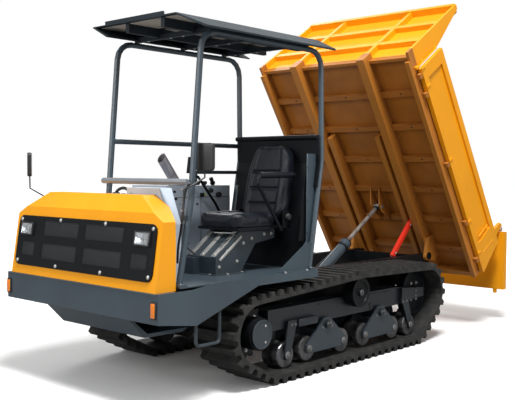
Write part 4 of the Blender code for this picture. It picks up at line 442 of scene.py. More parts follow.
def add_pipe(group, points, radius, place=Matrix.Identity(4), sides=12, smooth=False):
    """Adds a round bar or pipe that follows a few points, with closed ends."""
    line = bpy.data.curves.new("pipe", "CURVE")
    line.dimensions = "3D"
    line.bevel_depth = radius
    line.bevel_resolution = max(1, sides // 4 - 1)
    line.use_fill_caps = True
    run = line.splines.new("NURBS" if smooth else "POLY")
    run.points.add(len(points) - 1)
    for spot, point in zip(run.points, points):
        spot.co = (*point, 1)
    if smooth:
        run.order_u = 3
        run.use_endpoint_u = True
        run.resolution_u = 6
    drawn = bpy.data.objects.new("pipe", line)
    mesh = bpy.data.meshes.new_from_object(drawn)
    mesh.transform(place)
    group.from_mesh(mesh)
    bpy.data.objects.remove(drawn)
    bpy.data.curves.remove(line)
    bpy.data.meshes.remove(mesh)


def finished(name, group, finish, body="machine"):
    """Makes the group a piece that rides on a body."""
    bmesh.ops.remove_doubles(group, verts=group.verts, dist=1e-6)
    piece = stand_in_scene(name, group)
    piece.data.shade_smooth()
    piece.data.set_sharp_from_angle(angle=math.radians(40))
    piece.data.materials.append(finish.material)
    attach(piece, body)
    return piece


zinc = bare_metal("zinc_plate", (0.62, 0.62, 0.6), (0.38, 0.37, 0.35), 0.34, 0.05)
stud_steel = bare_metal("stud_steel", (0.3, 0.3, 0.3), (0.13, 0.13, 0.125), 0.38, 0.05)
bolt = round_part([(0, 0), (0.0155, 0), (0.0155, 0.0025), (0.012, 0.003), (0, 0.003)])
head_place = Matrix.Translation((0, 0, 0.0069))
hexagon = {"cap_ends": True, "segments": 6, "radius1": 0.0108, "radius2": 0.0098, "depth": 0.008}
bmesh.ops.create_cone(bolt, matrix=head_place, **hexagon)
cap_outline = [(0, 0), (0.03, 0), (0.03, 0.004), (0.026, 0.007), (0.018, 0.007), (0.018, 0.004), (0, 0.004)]
axle_cap = round_part(cap_outline)
stamp(axle_cap, bolt, shift((0, 0, 0.004)))
plate_face = 0.7763
roller_low = 0.1681
bogie_low = 0.1781
pivot_high = 0.344
bogie_middles = (("front", -0.5405), ("rear", 0.227))
bracket_bolts = [(y, 0.395) for y in (-0.985, -0.945, 0.585, 0.645)] + [(0.8, 0.475), (0.8, 0.43)]
for word, hand in both_hands:
    caps = bmesh.new()
    outward = (hand, 0, 0)
    for y in (-1.03, 0.72):
        stamp(caps, axle_cap, shift((hand * plate_face, y, roller_low), outward))
    for y, z in bracket_bolts:
        stamp(caps, bolt, shift((hand * plate_face, y, z), outward, 0.8))
    for _, middle in bogie_middles:
        for low in (-0.016, 0.016):
            stamp(caps, bolt, shift((hand * 0.798, middle + low, pivot_high + 0.01), outward, 0.7))
    finished(f"axle_caps_{word}", caps, stud_steel)
    bracket = bmesh.new()
    add_block(bracket, span(hand, 0.742, 0.792), (-0.915, -0.68), (0.372, 0.432), 0.006)
    add_block(bracket, span(hand, 0.743, 0.75), (0.098, 0.142), (0.385, 0.435), 0.003)
    add_block(bracket, span(hand, 0.7435, 0.7505), (-0.62, 0.4), (0.5, 0.512), 0.003)
    finished(f"frame_bracket_{word}", bracket, dark_slate)
    for end, middle in bogie_middles:
        ends = bmesh.new()
        for reach in (-0.2245, 0.2245):
            stamp(ends, axle_cap, shift((hand * plate_face, middle + reach, bogie_low), outward))
        for reach in (-0.062, 0.062):
            stamp(ends, bolt, shift((hand * plate_face, middle + reach, pivot_high - 0.022), outward, 0.75))
        finished(f"bogie_caps_{end}_{word}", ends, stud_steel, f"{end}_bogie_{word}")

# The guard's side plate
# A slate plate closes the corner between the guard panel and the rear leg of the canopy.
# Three pressed ribs stiffen the guard, and a dark shield stands behind each side's rollers.
def drawn_out(outline, way):
    """A solid between a flat outline and the same outline moved along."""
    shape = bmesh.new()
    shape.faces.new([shape.verts.new(point) for point in outline])
    spread = bmesh.ops.extrude_face_region(shape, geom=shape.faces[:])
    moved = [item for item in spread["geom"] if isinstance(item, bmesh.types.BMVert)]
    bmesh.ops.translate(shape, vec=way, verts=moved)
    bmesh.ops.recalc_face_normals(shape, faces=shape.faces)
    return shape


def plate(outline, near, far):
    """A flat plate across X with its outline given as (y, z) points."""
    shape = drawn_out([(near, y, z) for y, z in outline], (far - near, 0, 0))
    soften_edges(shape, shape.edges[:], 0.0012, 1)
    return shape


wing_line = [(-0.842, 1.7), (-0.694, 1.7), (-0.7, 1.62), (-0.806, 1.0)]
wing_line += [(-0.826, 0.85), (-1.02, 0.826), (-0.94, 0.93), (-0.842, 1.03)]
wing = plate(wing_line, 0.7905, 0.8)
for z in (1.1, 1.35, 1.6):
    stamp(wing, bolt, shift((0.8001, -0.835, z), (1, 0, 0), 0.6))
finished("guard_side_plate", wing, slate)
guard_ribs = bmesh.new()
for x in (0.12, 0.4, 0.68):
    add_pipe(guard_ribs, [(x, -0.729, 1.47), (x, -0.709, 1.6), (x, -0.729, 1.8)], 0.008)
finished("guard_ribs", guard_ribs, black)
for word, hand in both_hands:
    shield_line = [(-1.08, 0.44), (0.74, 0.44), (0.7, 0.2), (-1.02, 0.2)]
    shield = plate(shield_line, *span(hand, 0.52, 0.526))
    finished(f"track_shield_{word}", shield, black)

# The final drives' lids
# A cast lid with a raised rim closes each drive and has two oil plugs. Bolts ring the hubs of
# sprocket and idler, and a cap closes the carrier roller.
rim_outline = [(0.092, 0), (0.105, 0), (0.105, 0.003), (0.101, 0.005), (0.096, 0.005), (0.092, 0.003)]
rim_ring = round_part([*rim_outline, rim_outline[0]], 40)
lid_disc = round_part([(0, 0), (0.0915, 0), (0.0915, 0.0012), (0.07, 0.0022), (0, 0.0022)], 40)
plug = round_part([(0, 0), (0.013, 0), (0.013, 0.003), (0.009, 0.006), (0, 0.006)])
for word, hand in both_hands:
    lid = bmesh.new()
    centre = (hand * 0.8852, -1.445, 0.402)
    outward = (hand, 0, 0)
    stamp(lid, rim_ring, shift(centre, outward))
    stamp(lid, lid_disc, shift(centre, outward))
    finished(f"drive_rim_{word}", lid, mid_slate, f"drive_{word}")
    plugs = bmesh.new()
    for turn in (60, 300):
        spot = turned(centre, "X", turn) @ Vector((hand * 0.0018, 0.068, 0))
        stamp(plugs, plug, shift(spot, outward, 0.7))
    for turn in range(0, 360, 40):
        spot = turned((hand * 0.7024, -1.445, 0.402), "X", turn) @ Vector((0, 0.145, 0))
        stamp(plugs, bolt, shift(spot, outward, 0.9))
    finished(f"drive_plugs_{word}", plugs, zinc, f"drive_{word}")
    wheel = bmesh.new()
    for turn in range(0, 360, 60):
        spot = turned((hand * 0.696, 0.895, 0.45), "X", turn) @ Vector((0, 0.088, 0))
        stamp(wheel, bolt, shift(spot, outward, 0.9))
    finished(f"idler_bolts_{word}", wheel, zinc, f"idler_{word}")
    cap = bmesh.new()
    stamp(cap, axle_cap, shift((hand * 0.8518, -0.17, 0.5639), outward, 0.85))
    finished(f"carrier_cap_{word}", cap, roller_steel, f"carrier_{word}")

# The deck's bolts
# Plated bolts hold the seat stand and the canopy's feet to the deck plate, and a thin lip runs
# along the deck's sides and the skirt's front.
deck_bolts = bmesh.new()
deck_top = 0.8122
bolts_at = [(0.335, -1.635), (0.545, -1.635), (0.61, -1.521), (0.6, -1.355)]
bolts_at += [(0.27, -1.36), (0.846, -1.15), (0.846, -0.9), (0.7, -0.83)]
for x, y in bolts_at:
    stamp(deck_bolts, bolt, shift((x, y, deck_top)))
for x in (0.7975, 0.8465):
    for y in (-2.196, -0.846):
        stamp(deck_bolts, bolt, shift((x, y, 0.8285), size=0.55))
finished("deck_bolts", deck_bolts, zinc)
lip = bmesh.new()
for hand in (1, -1):
    add_block(lip, span(hand, 0.8665, 0.8695), (-1.46, -0.79), (0.754, 0.764), 0.001)
add_block(lip, (-0.855, 0.855), (-2.4135, -2.4105), (0.778, 0.788), 0.001)
finished("skirt_lip", lip, slate)

# The hood's grille
# Fine woven mesh closes the windows of the black grille plate, and eight bright dome screws
# hold the plate to the hood.
hood_foot = Vector((0, -2.397, 0.7885))
hood_brow = Vector((0, -2.322, 1.29))
lean = math.degrees(math.atan2(hood_brow.y - hood_foot.y, hood_brow.z - hood_foot.z))
on_hood = turned(hood_foot, "X", -lean) @ Matrix.Translation(-hood_foot)
plate_front = -2.4073
weave = Finish("grille_mesh", roughness=0.55, metallic=0.6)
wires = weave.part("X").wave(1570) + weave.part("Z").wave(1570)
shadow = wires.limited(-0.9, 0.6)
haze = weave.noise(9, 4)
thread = weave.mix(haze, (0.03, 0.034, 0.037), (0.046, 0.05, 0.053))
weave.set(base_color=weave.mix(shadow, (0.012, 0.012, 0.013), thread))
weave.set(normal=weave.bump(wires, 0.001, 0.6))
dome = round_part([(0, 0), (0.0145, 0), (0.0145, 0.002), (0.011, 0.0055), (0.006, 0.0075), (0, 0.008)])
mesh_panes = bmesh.new()
screws = bmesh.new()
pane_depth = (plate_front + 0.003, plate_front + 0.0055)
overlap = 0.0002
windows = ((0.04, 0.46, 0.915, 1.03), (0.04, 0.46, 1.085, 1.195), (0.56, 0.72, 0.93, 1.03))
for hand in (1, -1):
    for near, far, low, high in windows:
        wide = span(hand, near - overlap, far + overlap)
        add_block(mesh_panes, wide, pane_depth, (low - overlap, high + overlap), 0.0004, on_hood)
    for x, z in ((0.755, 1.195), (0.26, 1.205), (0.755, 0.885), (0.26, 0.873)):
        stamp(screws, dome, on_hood @ shift((hand * x, plate_front, z), (0, -1, 0)))
finished("grille_mesh", mesh_panes, weave, "hood")
finished("grille_screws", screws, zinc, "hood")

# The hood's rear corner
# A folded gusset closes the step in the hood's rear edge on each side, flush with its chamfer.
corners = bmesh.new()
for hand in (1, -1):
    outline = [(0.67, -2.1362, 1.323), (0.67, -2.2279, 1.323), (0.8295, -2.2255, 1.2352)]
    stamp(corners, drawn_out([(hand * x, y, z) for x, y, z in outline], (0, 0, -0.0035)))
finished("hood_gussets", corners, yellow, "hood")

# The headlamps
# Each is a chromed bowl in a black bezel, with a black shade over its bulb, closed by a clear
# fluted lens.
def grained(name, roughness, grain, tones, relief=None):
    """A plain material in two tones, mixed by one noise that can also roughen its surface."""
    made = Finish(name, roughness=roughness)
    grains = made.noise(*grain)
    made.set(base_color=made.mix(grains, *tones))
    if relief:
        made.set(normal=made.bump(grains, *relief))
    return made


chrome = Finish("lamp_chrome", base_color=(0.8, 0.82, 0.84), metallic=1.0, roughness=0.12)
facet = chrome.cells(60, "F1")
chrome.set(base_color=chrome.mix(facet, (0.86, 0.88, 0.9), (0.6, 0.63, 0.68)))
chrome.set(normal=chrome.bump(facet, 0.002, 0.4))
plastic_tones = ((0.012, 0.012, 0.013), (0.022, 0.022, 0.023))
bezel_black = grained("bezel_black", 0.45, (300, 3), plastic_tones, (0.0003, 0.3))
clear = Finish("headlamp_lens", base_color=(0.93, 0.96, 0.98), roughness=0.06, transmission_weight=0.92)
clear.set(normal=clear.bump(clear.part("X").wave(420), 0.0016, 0.6))
for word, hand in both_hands:
    middle = Vector((hand * 0.665, plate_front - 0.0003, 1.126))
    left_end, left, right, right_end = (middle.x + off for off in (-0.0775, -0.066, 0.066, 0.0775))
    deep = (middle.y - 0.015, middle.y)
    rim = bmesh.new()
    for x in ((left_end, left), (right, right_end)):
        add_block(rim, x, deep, (1.077, 1.175), 0.002, on_hood)
    for z in ((1.077, 1.0875), (1.1645, 1.175)):
        add_block(rim, (left, right), deep, z, 0.002, on_hood)
    finished(f"headlamp_bezel_{word}", rim, bezel_black, "hood")
    bowl = cuboid((0.132, 0.01, 0.077))
    front = min(bowl.faces, key=lambda face: face.calc_center_median().y)
    bmesh.ops.inset_region(bowl, faces=[front], thickness=0.002, depth=0.0)
    bmesh.ops.inset_region(bowl, faces=[front], thickness=0.016, depth=-0.0075)
    bowl.transform(on_hood @ Matrix.Translation(middle - Vector((0, 0.0055, 0))))
    finished(f"headlamp_bowl_{word}", bowl, chrome, "hood")
    bulb = bmesh.new()
    bulb_place = on_hood @ Matrix.Translation(middle - Vector((0, 0.0075, 0)))
    bulb_place = bulb_place @ Matrix.Diagonal((1.9, 0.35, 1, 1))
    bmesh.ops.create_uvsphere(bulb, u_segments=20, v_segments=10, radius=0.01, matrix=bulb_place)
    finished(f"headlamp_shade_{word}", bulb, bezel_black, "hood")
    pane = bmesh.new()
    wide = (middle.x - 0.0655, middle.x + 0.0655)
    add_block(pane, wide, (middle.y - 0.0155, middle.y - 0.0125), (1.0878, 1.1642), 0.0012, on_hood)
    cover = finished(f"headlamp_lens_{word}", pane, clear, "hood")
    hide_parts(f"headlamp_{word}")

# The turn lamps
# An amber lens with fine upright ribs in a black moulded housing on the skirt's corner.
amber = Finish("amber_lens", roughness=0.14, coat_weight=0.5)
comb = amber.part("X").wave(1250)
amber.set(base_color=amber.mix(comb.limited(-1, 1), (0.8, 0.12, 0.004), (1.0, 0.33, 0.02)))
amber.set(normal=amber.bump(comb, 0.001, 0.7))
skirt_face = -2.4103
for word, hand in both_hands:
    shell = bmesh.new()
    x = span(hand, 0.81, 0.86)
    add_block(shell, x, (skirt_face - 0.01, skirt_face), (0.628, 0.74), 0.004)
    finished(f"turn_lamp_housing_{word}", shell, bezel_black)
    glass = bmesh.new()
    depth = (skirt_face - 0.018, skirt_face - 0.006)
    add_block(glass, (x[0] + 0.008, x[1] - 0.008), depth, (0.638, 0.73), 0.005)
    cover = finished(f"turn_lamp_lens_{word}", glass, amber)
    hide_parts(f"turn_lamp_{word}")

# The engine covers' fittings
# Panel joints, sockets, screws, knobs and a rubber plug on the pale covers, black filler caps
# and a short hose on their top, and a wire catch on the cowl.
# Near-black for the covers' joints, sockets and catches; the same finish paints the shade inside each drain
# hole in the bed and down the exhaust's bore.
joint_and_shade_black = grained("joint_and_shade_black", 0.85, (60, 4), ((0.004, 0.004, 0.005), (0.012, 0.011, 0.01)))
seams = bmesh.new()
for y in (-1.83, -1.2):
    add_block(seams, (-0.0002, 0.0012), (y - 0.002, y + 0.002), (0.84, 1.355), 0.0005)
add_block(seams, (-0.0002, 0.0012), (-2.02, -0.88), (1.352, 1.356), 0.0005)
add_block(seams, (0.3, 0.6), (-2.1333, -2.132), (1.195, 1.199), 0.0005)
sockets = [(-1.484, 1.4, 0.026, 0.016), (-1.47, 1.345, 0.03, 0.02)]
sockets += [(-1.187, 1.372, 0.046, 0.03), (-1.425, 1.3, 0.01, 0.008)]
for y, z, wide, high in sockets:
    add_block(seams, (-0.0002, 0.003), (y - wide / 2, y + wide / 2), (z - high / 2, z + high / 2))
finished("cover_joints", seams, joint_and_shade_black)
console_top = 1.4463
cover_top = 1.3602
knob_outline = [(0, 0), (0.014, 0), (0.014, 0.004), (0.02, 0.008), (0.021, 0.02), (0.017, 0.027)]
knob = round_part([*knob_outline, (0, 0.029)], 24)
knobs = bmesh.new()
for y, z, size in ((-1.1, 1.405, 0.95), (-1.012, 1.372, 1.15), (-1.245, 1.3, 0.4)):
    stamp(knobs, knob, shift((-0.0004, y, z), (1, 0, 0), size))
for x, y, size in ((-0.15, -1.02, 1.2), (-0.2, -1.1, 1.2), (-0.235, -1.01, 1.0)):
    stamp(knobs, knob, shift((x, y, console_top), size=size))
for x, y, size in ((-0.13, -1.95, 1.5), (-0.17, -1.85, 1.1)):
    stamp(knobs, knob, shift((x, y, cover_top + 0.0001), size=size))
top_hose = [(-0.13, -1.95, 1.4), (-0.11, -1.94, 1.432), (-0.05, -1.9, 1.434), (-0.03, -1.87, 1.3605)]
add_pipe(knobs, top_hose, 0.012, smooth=True)
finished("cover_knobs", knobs, bezel_black)
cover_screws = bmesh.new()
for y in (-2.0, -1.86, -1.7, -1.56, -1.4, -1.26, -1.06, -0.9):
    for z in (0.875, 1.335):
        stamp(cover_screws, dome, shift((0.0002, y, z), (1, 0, 0), 0.5))
for x, z in ((0.27, 1.41), (0.53, 1.41), (0.27, 1.22), (0.62, 1.22), (0.27, 0.86), (0.62, 0.86)):
    stamp(cover_screws, dome, shift((x, -2.1322, z), (0, -1, 0), 0.5))
finished("cover_screws", cover_screws, zinc)
gland_paint = grained("plug_green", 0.5, (80,), ((0.42, 0.52, 0.1), (0.62, 0.68, 0.22)))
gland = bmesh.new()
stamp(gland, plug, shift((-0.0002, -1.15, 1.372), (1, 0, 0), 0.9))
finished("cover_plug", gland, gland_paint)
handle = bmesh.new()
catch_line = [(0.5, -2.1315, 1.335), (0.502, -2.15, 1.33), (0.514, -2.15, 1.3)]
add_pipe(handle, [*catch_line, (0.516, -2.1315, 1.295)], 0.0035, sides=8)
finished("cowl_catch", handle, bezel_black)

# The engine covers' far side
# The far wall opens in three doors: louvres are pressed in the outer two and a frame in the
# middle one. Each has a black catch, hinges stand at the joints, and the lid has a grab handle.
far_wall = -0.8002
door_frame = (-1.7, -1.32)
louvres = bmesh.new()
for y in (-1.96, -1.06):
    for row in range(9):
        z = 0.94 + row * 0.034
        slat = turned((far_wall, y, z), "Y", -24)
        add_block(louvres, (-0.0045, 0.0), (-0.105, 0.105), (-0.011, 0.011), 0.0018, slat)
frame_depth = (far_wall - 0.004, far_wall + 0.001)
for z in (0.9, 1.24):
    add_block(louvres, frame_depth, door_frame, (z - 0.01, z + 0.01), 0.0018)
for y in door_frame:
    add_block(louvres, frame_depth, (y - 0.01, y + 0.01), (0.89, 1.25), 0.0018)
for y in (-1.75, -1.27):
    for z in (0.92, 1.26):
        add_pipe(louvres, [(far_wall - 0.004, y, z - 0.028), (far_wall - 0.004, y, z + 0.028)], 0.006)
grab = [(-0.6, -1.45, cover_top), (-0.6, -1.45, 1.392), (-0.6, -1.3, 1.392), (-0.6, -1.3, cover_top)]
add_pipe(louvres, grab, 0.007)
for x in (-0.62, -0.55, -0.48):
    add_block(louvres, (x - 0.02, x + 0.02), (-1.22, -0.94), (cover_top, 1.365), 0.0018)
finished("cover_louvres", louvres, pale)
far_seams = bmesh.new()
seam_depth = (far_wall - 0.001, far_wall + 0.0004)
for y in (-1.76, -1.26):
    add_block(far_seams, seam_depth, (y - 0.002, y + 0.002), (0.83, 1.35), 0.0004)
add_block(far_seams, seam_depth, (-2.12, -0.875), (1.346, 1.35), 0.0004)
for y in (-1.8, -1.22, -1.7):
    stamp(far_seams, knob, shift((far_wall, y, 1.08), (-1, 0, 0), 0.75))
for x in (-0.7, -0.42):
    add_block(far_seams, (x - 0.002, x + 0.002), (-2.12, -1.57), (1.36, 1.3608), 0.0003)
add_block(far_seams, (-0.79, -0.43), (-1.572, -1.568), (1.36, 1.3608), 0.0003)
add_block(far_seams, (-0.7, -0.1), (-0.8662, -0.8652), (1.1, 1.104), 0.0004)
finished("cover_far_seams", far_seams, joint_and_shade_black)

# The canopy's underside
# Beige trim boards fill the bays between the roof's cross bars, cap screws hold the bars, and
# three low ribs cross the roof's top.
board_tones = ((0.3, 0.28, 0.25), (0.4, 0.37, 0.32))
board = grained("trim_board", 0.8, (70, 5, (1, 6, 1)), board_tones, (0.0006, 0.4))
under_roof = 2.5889
boards = bmesh.new()
for x in ((-0.1, 0.178), (0.224, 0.548), (0.592, 0.71)):
    for y in ((-2.105, -1.842), (-1.795, -1.375), (-1.328, -0.912), (-0.865, -0.67)):
        add_block(boards, x, y, (under_roof - 0.006, under_roof - 0.0002))
finished("canopy_boards", boards, board)
roof_screws = bmesh.new()
for y in (-1.812, -1.3515, -0.891):
    for x in (-0.045, 0.08, 0.32, 0.45, 0.7, 0.818):
        stamp(roof_screws, dome, shift((x, y, 2.511), (0, 0, -1), 0.7))
finished("canopy_screws", roof_screws, zinc)
ridge = bmesh.new()
for y in (-2.05, -1.39, -0.73):
    add_block(ridge, (-0.12, 0.7), (y - 0.014, y + 0.014), (2.5969, 2.6005), 0.0015)
finished("canopy_ribs", ridge, roof_slate)

# The seat
# A sprung foam cushion and a tall moulded backrest in black grained vinyl. Each pad has a
# raised bolster along its sides and cross seams between them, and swells between the seams.
vinyl = Finish("seat_vinyl", specular_ior_level=0.3)
grain = vinyl.cells(420, "DISTANCE_TO_EDGE")
wear = vinyl.noise(12, 4)
vinyl.set(base_color=vinyl.mix(wear, (0.0035, 0.005, 0.008), (0.009, 0.012, 0.018)))
vinyl.set(roughness=wear * 0.14 + 0.27, normal=vinyl.bump(grain.limited(0.0, 0.12), 0.0004, 0.6))


def evaluated_mesh(piece):
    """A copy of the piece's mesh with its modifiers worked in."""
    return bpy.data.meshes.new_from_object(piece.evaluated_get(bpy.context.evaluated_depsgraph_get()))


def worked_in(piece):
    """Gives the piece the mesh that its modifiers make, in place of the modifiers."""
    old = piece.data
    new = evaluated_mesh(piece)
    piece.modifiers.clear()
    piece.data = new
    bpy.data.meshes.remove(old)
    new.name = piece.name
    return new


def cloth_swell(piece, pressure, cap):
    """Blows a closed pad out a little, as foam presses its cover."""
    rest = [vert.co.copy() for vert in piece.data.vertices]
    cloth = piece.modifiers.new("cover", "CLOTH").settings
    cloth.use_pressure = True
    cloth.uniform_pressure_force = pressure
    cloth.effector_weights.gravity = 0
    cloth.quality = 5
    for step in range(1, 15):
        scene.frame_set(step)
    swelled = evaluated_mesh(piece)
    piece.modifiers.clear()
    for vert, old, new in zip(piece.data.vertices, rest, swelled.vertices):
        move = new.co - old
        if move.length > cap:
            move *= cap / move.length
        vert.co = old + move
    bpy.data.meshes.remove(swelled)
    scene.frame_set(1)


def foam_pad(node, size, place, body, bulge, seams_at, taper):
    """A closed pad made flat on its back: swollen, narrowed toward its end, then quilted."""
    wide, long, thick = size
    shape = cuboid(size)
    shape.transform(Matrix.Translation((0, 0, thick / 2)))
    soften_edges(shape, edges_along(shape, 2, thick / 2), 0.085, 6)
    rims = [edge for edge in shape.edges if min(vert.co.z for vert in edge.verts) > thick / 2]
    soften_edges(shape, rims, 0.03, 4)
    piece = stand_in_scene(f"{node}_cover", shape)
    grid = piece.modifiers.new("grid", "REMESH")
    grid.mode = "VOXEL"
    grid.voxel_size = 0.0075
    even = worked_in(piece)
    cloth_swell(piece, 3.0, bulge)
    bolster_line = 0.66
    for vert in even.vertices:
        u = 2 * vert.co.x / wide
        v = 2 * vert.co.y / long
        vert.co.x *= 1 - taper * max(0.0, v) ** 2
        if vert.co.z > 0.55 * thick:
            bolster = min(1.0, max(0.0, (abs(u) - 0.6) / 0.12))
            vert.co.z += 0.032 * bolster * (1 - bolster) + 0.012 * bolster
            if abs(u) < bolster_line:
                for seam in seams_at:
                    off = abs(v - seam) * long / 2
                    vert.co.z -= 0.012 * math.exp(-((off / 0.011) ** 2))
            off = abs(abs(u) - bolster_line) * wide / 2
            vert.co.z -= 0.011 * math.exp(-((off / 0.009) ** 2))
        vert.co.z = max(vert.co.z, 0.0)
    even.transform(place)
    piece.modifiers.new("smooth", "SUBSURF").levels = 1
    done = worked_in(piece)
    done.shade_smooth()
    done.materials.append(vinyl.material)
    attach(piece, body)
    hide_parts(node)


seat_x = 0.44
cushion = turned((seat_x, -1.241, 1.147), "Z", 180)
foam_pad("seat_cushion", (0.44, 0.462, 0.088), cushion, "seat_base", 0.007, (-0.28, 0.28), 0.06)
lean_back = 13
backrest = turned((seat_x, -0.94, 1.215), "X", -lean_back) @ turned((0, 0.0525, 0.27), "X", 90)
foam_pad("seat_back", (0.434, 0.59, 0.086), backrest, "seat_back", 0.006, (-0.62, -0.2, 0.26), 0.3)

# The bed's underside
# Weld beads run where the cross members meet the rails, and a rolled lip stiffens each
# member's edge. Each drain hole punched in the members is a thin black disc on its face,
# painted shade for the dark inside of the hole.
in_bed = turned(bed_hinge, "X", -tip)
member_pitch = 0.353
rail_edges = (-0.437, -0.353, 0.353, 0.437)
beads = bmesh.new()
lips = bmesh.new()
hole_shade_discs = bmesh.new()
# Painted shade: a thin black disc stands for the dark inside of each drain hole.
hole = round_part([(0, 0), (0.0085, 0), (0.0085, 0.0008), (0, 0.0008)], 16)
for i in range(6):
    y = -i * member_pitch
    for x in (0, 0.62, -0.62):
        half_run = 0.255 if x == 0 else 0.18
        for edge in (-0.0275, 0.0245):
            across = (x - half_run, x + half_run)
            add_block(lips, across, (y + edge, y + edge + 0.003), (0.1465, 0.1498), 0.0008, in_bed)
        stamp(hole_shade_discs, hole, in_bed @ shift((x + 0.03, y, 0.1497), (0, 0, -1)))
    for x in rail_edges:
        for edge in (-0.03, 0.03):
            add_pipe(beads, [(x, y + edge, 0.152), (x, y + edge, 0.194)], 0.004, in_bed, 8)
for x in rail_edges:
    for i in range(5):
        y = -i * member_pitch
        add_pipe(beads, [(x, y - 0.07, 0.1975), (x, y - 0.28, 0.1975)], 0.004, in_bed, 8)
finished("bed_weld_beads", beads, bed_yellow, "bed")
finished("bed_member_lips", lips, bed_yellow, "bed")
finished("bed_drain_hole_shades", hole_shade_discs, joint_and_shade_black, "bed")

# The drop sides
# Pressed beads and a rolled top edge stiffen each gate, and five bolted straps hang it. A latch
# bar with two pivots holds it at the bed's front corner. All are painted over with the bed.
for word, hand in both_hands:
    face = hand * 0.922
    gate = bmesh.new()
    bead_x = face - hand * 0.003
    for low, high in (((-0.074, 0.268), (-0.064, 0.49)), ((0.118, 0.273), (0.134, 0.511))):
        add_pipe(gate, [(bead_x, *low), (bead_x, *high)], 0.007, in_bed)
    strap = (face - 0.004, face + 0.004)
    for ahead in (1.98, 1.8, 1.02, 0.31, -0.07):
        add_block(gate, strap, (-ahead - 0.016, -ahead + 0.016), (0.176, 0.232), 0.0015, in_bed)
        for up in (0.192, 0.216):
            stamp(gate, bolt, in_bed @ shift((face + hand * 0.004, -ahead, up), (hand, 0, 0), 0.55))
    edge_x = face - hand * 0.012
    add_pipe(gate, [(edge_x, -1.975, 0.592), (edge_x, 0.215, 0.592)], 0.0105, in_bed)
    finished(f"gate_beads_{word}", gate, yellow, f"side_gate_{word}")
    catch = bmesh.new()
    for start, end in (((-2.006, 0.56), (-2.006, 0.3)), ((-2.006, 0.3), (-2.0, 0.165))):
        add_pipe(catch, [(hand * 0.884, *start), (hand * 0.888, *end)], 0.008, in_bed)
    for along, up in ((-2.006, 0.56), (-2.006, 0.3)):
        stamp(catch, axle_cap, in_bed @ shift((hand * 0.874, along, up), (hand, 0, 0), 0.62))
    add_block(catch, span(hand, 0.872, 0.9), (-2.02, -1.993), (0.14, 0.185), 0.003, in_bed)
    finished(f"gate_catches_{word}", catch, yellow, "bed")

# The tailgate's fittings
# Three stiffener ribs and two tow loops are welded to the outside. Pin heads close the top
# hinge and the ram's eye.
in_tail = in_bed @ turned((0, 0.215, 0.8), "X", tip)
tail = bmesh.new()
for x in (-0.45, 0.0, 0.45):
    add_block(tail, (x - 0.018, x + 0.018), (0.016, 0.034), (-0.575, -0.118), 0.003, in_tail)
for x in (-0.3, 0.3):
    loop = [(x - 0.03, 0.03), (x - 0.03, 0.041), (x + 0.03, 0.041), (x + 0.03, 0.03)]
    add_pipe(tail, [(*spot, -0.6) for spot in loop], 0.007, in_tail)
finished("tailgate_ribs", tail, yellow, "tailgate")
pins = bmesh.new()
for hand in (1, -1):
    stamp(pins, axle_cap, in_bed @ shift((hand * 0.8738, 0.215, 0.8), (hand, 0, 0), 0.75))
    stamp(pins, axle_cap, in_bed @ shift((hand * 0.0572, -0.535, 0.085), (hand, 0, 0), 0.85))
finished("bed_pin_heads", pins, zinc, "bed")

# The tipping ram
# A black gland closes the barrel and two bands clamp it. Two rubber hoses bring oil to its
# ports, and a collar joins the eye to the chromed rod.
foot = Vector((0, 0.264, 0.547))
eye = Vector((0, 1.3269, 1.212))
along_ram = (eye - foot).normalized()
on_ram = shift(foot, along_ram)
gland_outline = [(0.022, 0.604), (0.055, 0.604), (0.055, 0.614), (0.048, 0.619), (0.03, 0.622)]
gland = round_part([*gland_outline, (0.022, 0.622), gland_outline[0]], 32)
bands = bmesh.new()
stamp(bands, gland, on_ram)
for low in (0.1, 0.52):
    high = low + 0.018
    band = round_part([(0.0478, low), (0.0515, low), (0.0515, high), (0.0478, high), (0.0478, low)], 32)
    stamp(bands, band, on_ram)
for low in (0.14, 0.5):
    add_pipe(bands, [(0.044, 0, low), (0.066, 0, low)], 0.011, on_ram)
finished("ram_gland", bands, black, "ram_barrel")
hose_tones = ((0.01, 0.01, 0.011), (0.024, 0.024, 0.025))
hose_rubber = grained("hose_rubber", 0.55, (240, 3), hose_tones, (0.0005, 0.4))
hoses = bmesh.new()
high_hose = [(0.066, 0, 0.14), (0.092, 0, 0.15), (0.085, 0, 0.28), (0.062, 0, 0.42), (0.066, 0, 0.5)]
low_hose = [(0.066, 0, 0.14), (0.1, 0.01, 0.1), (0.12, 0.03, 0.02), (0.11, 0.04, -0.05)]
for run in (high_hose, low_hose):
    add_pipe(hoses, run, 0.008, on_ram, smooth=True)
finished("ram_hoses", hoses, hose_rubber, "ram_barrel")
collar = round_part([(0.0205, 0), (0.027, 0), (0.031, 0.018), (0.0205, 0.018), (0.0205, 0)], 24)
collar.transform(shift(eye - along_ram * 0.055, along_ram))
finished("ram_collar", collar, black, "ram_rod")

# The safety prop's end
# Two cross pins hold the prop's top and its foot, with a dome head on each side.
prop_top = Vector((0.3325, 1.4321, 1.0776))
fall = Vector((0, -1, -1)).normalized()
prop_pins = bmesh.new()
for hand in (-1, 1):
    for down in (0.06, 0.44):
        spot = prop_top + Vector((hand * 0.0235, 0, 0)) + fall * down
        stamp(prop_pins, dome, shift(spot, (hand, 0, 0), 0.8))
finished("prop_pins", prop_pins, zinc, "safety_prop")

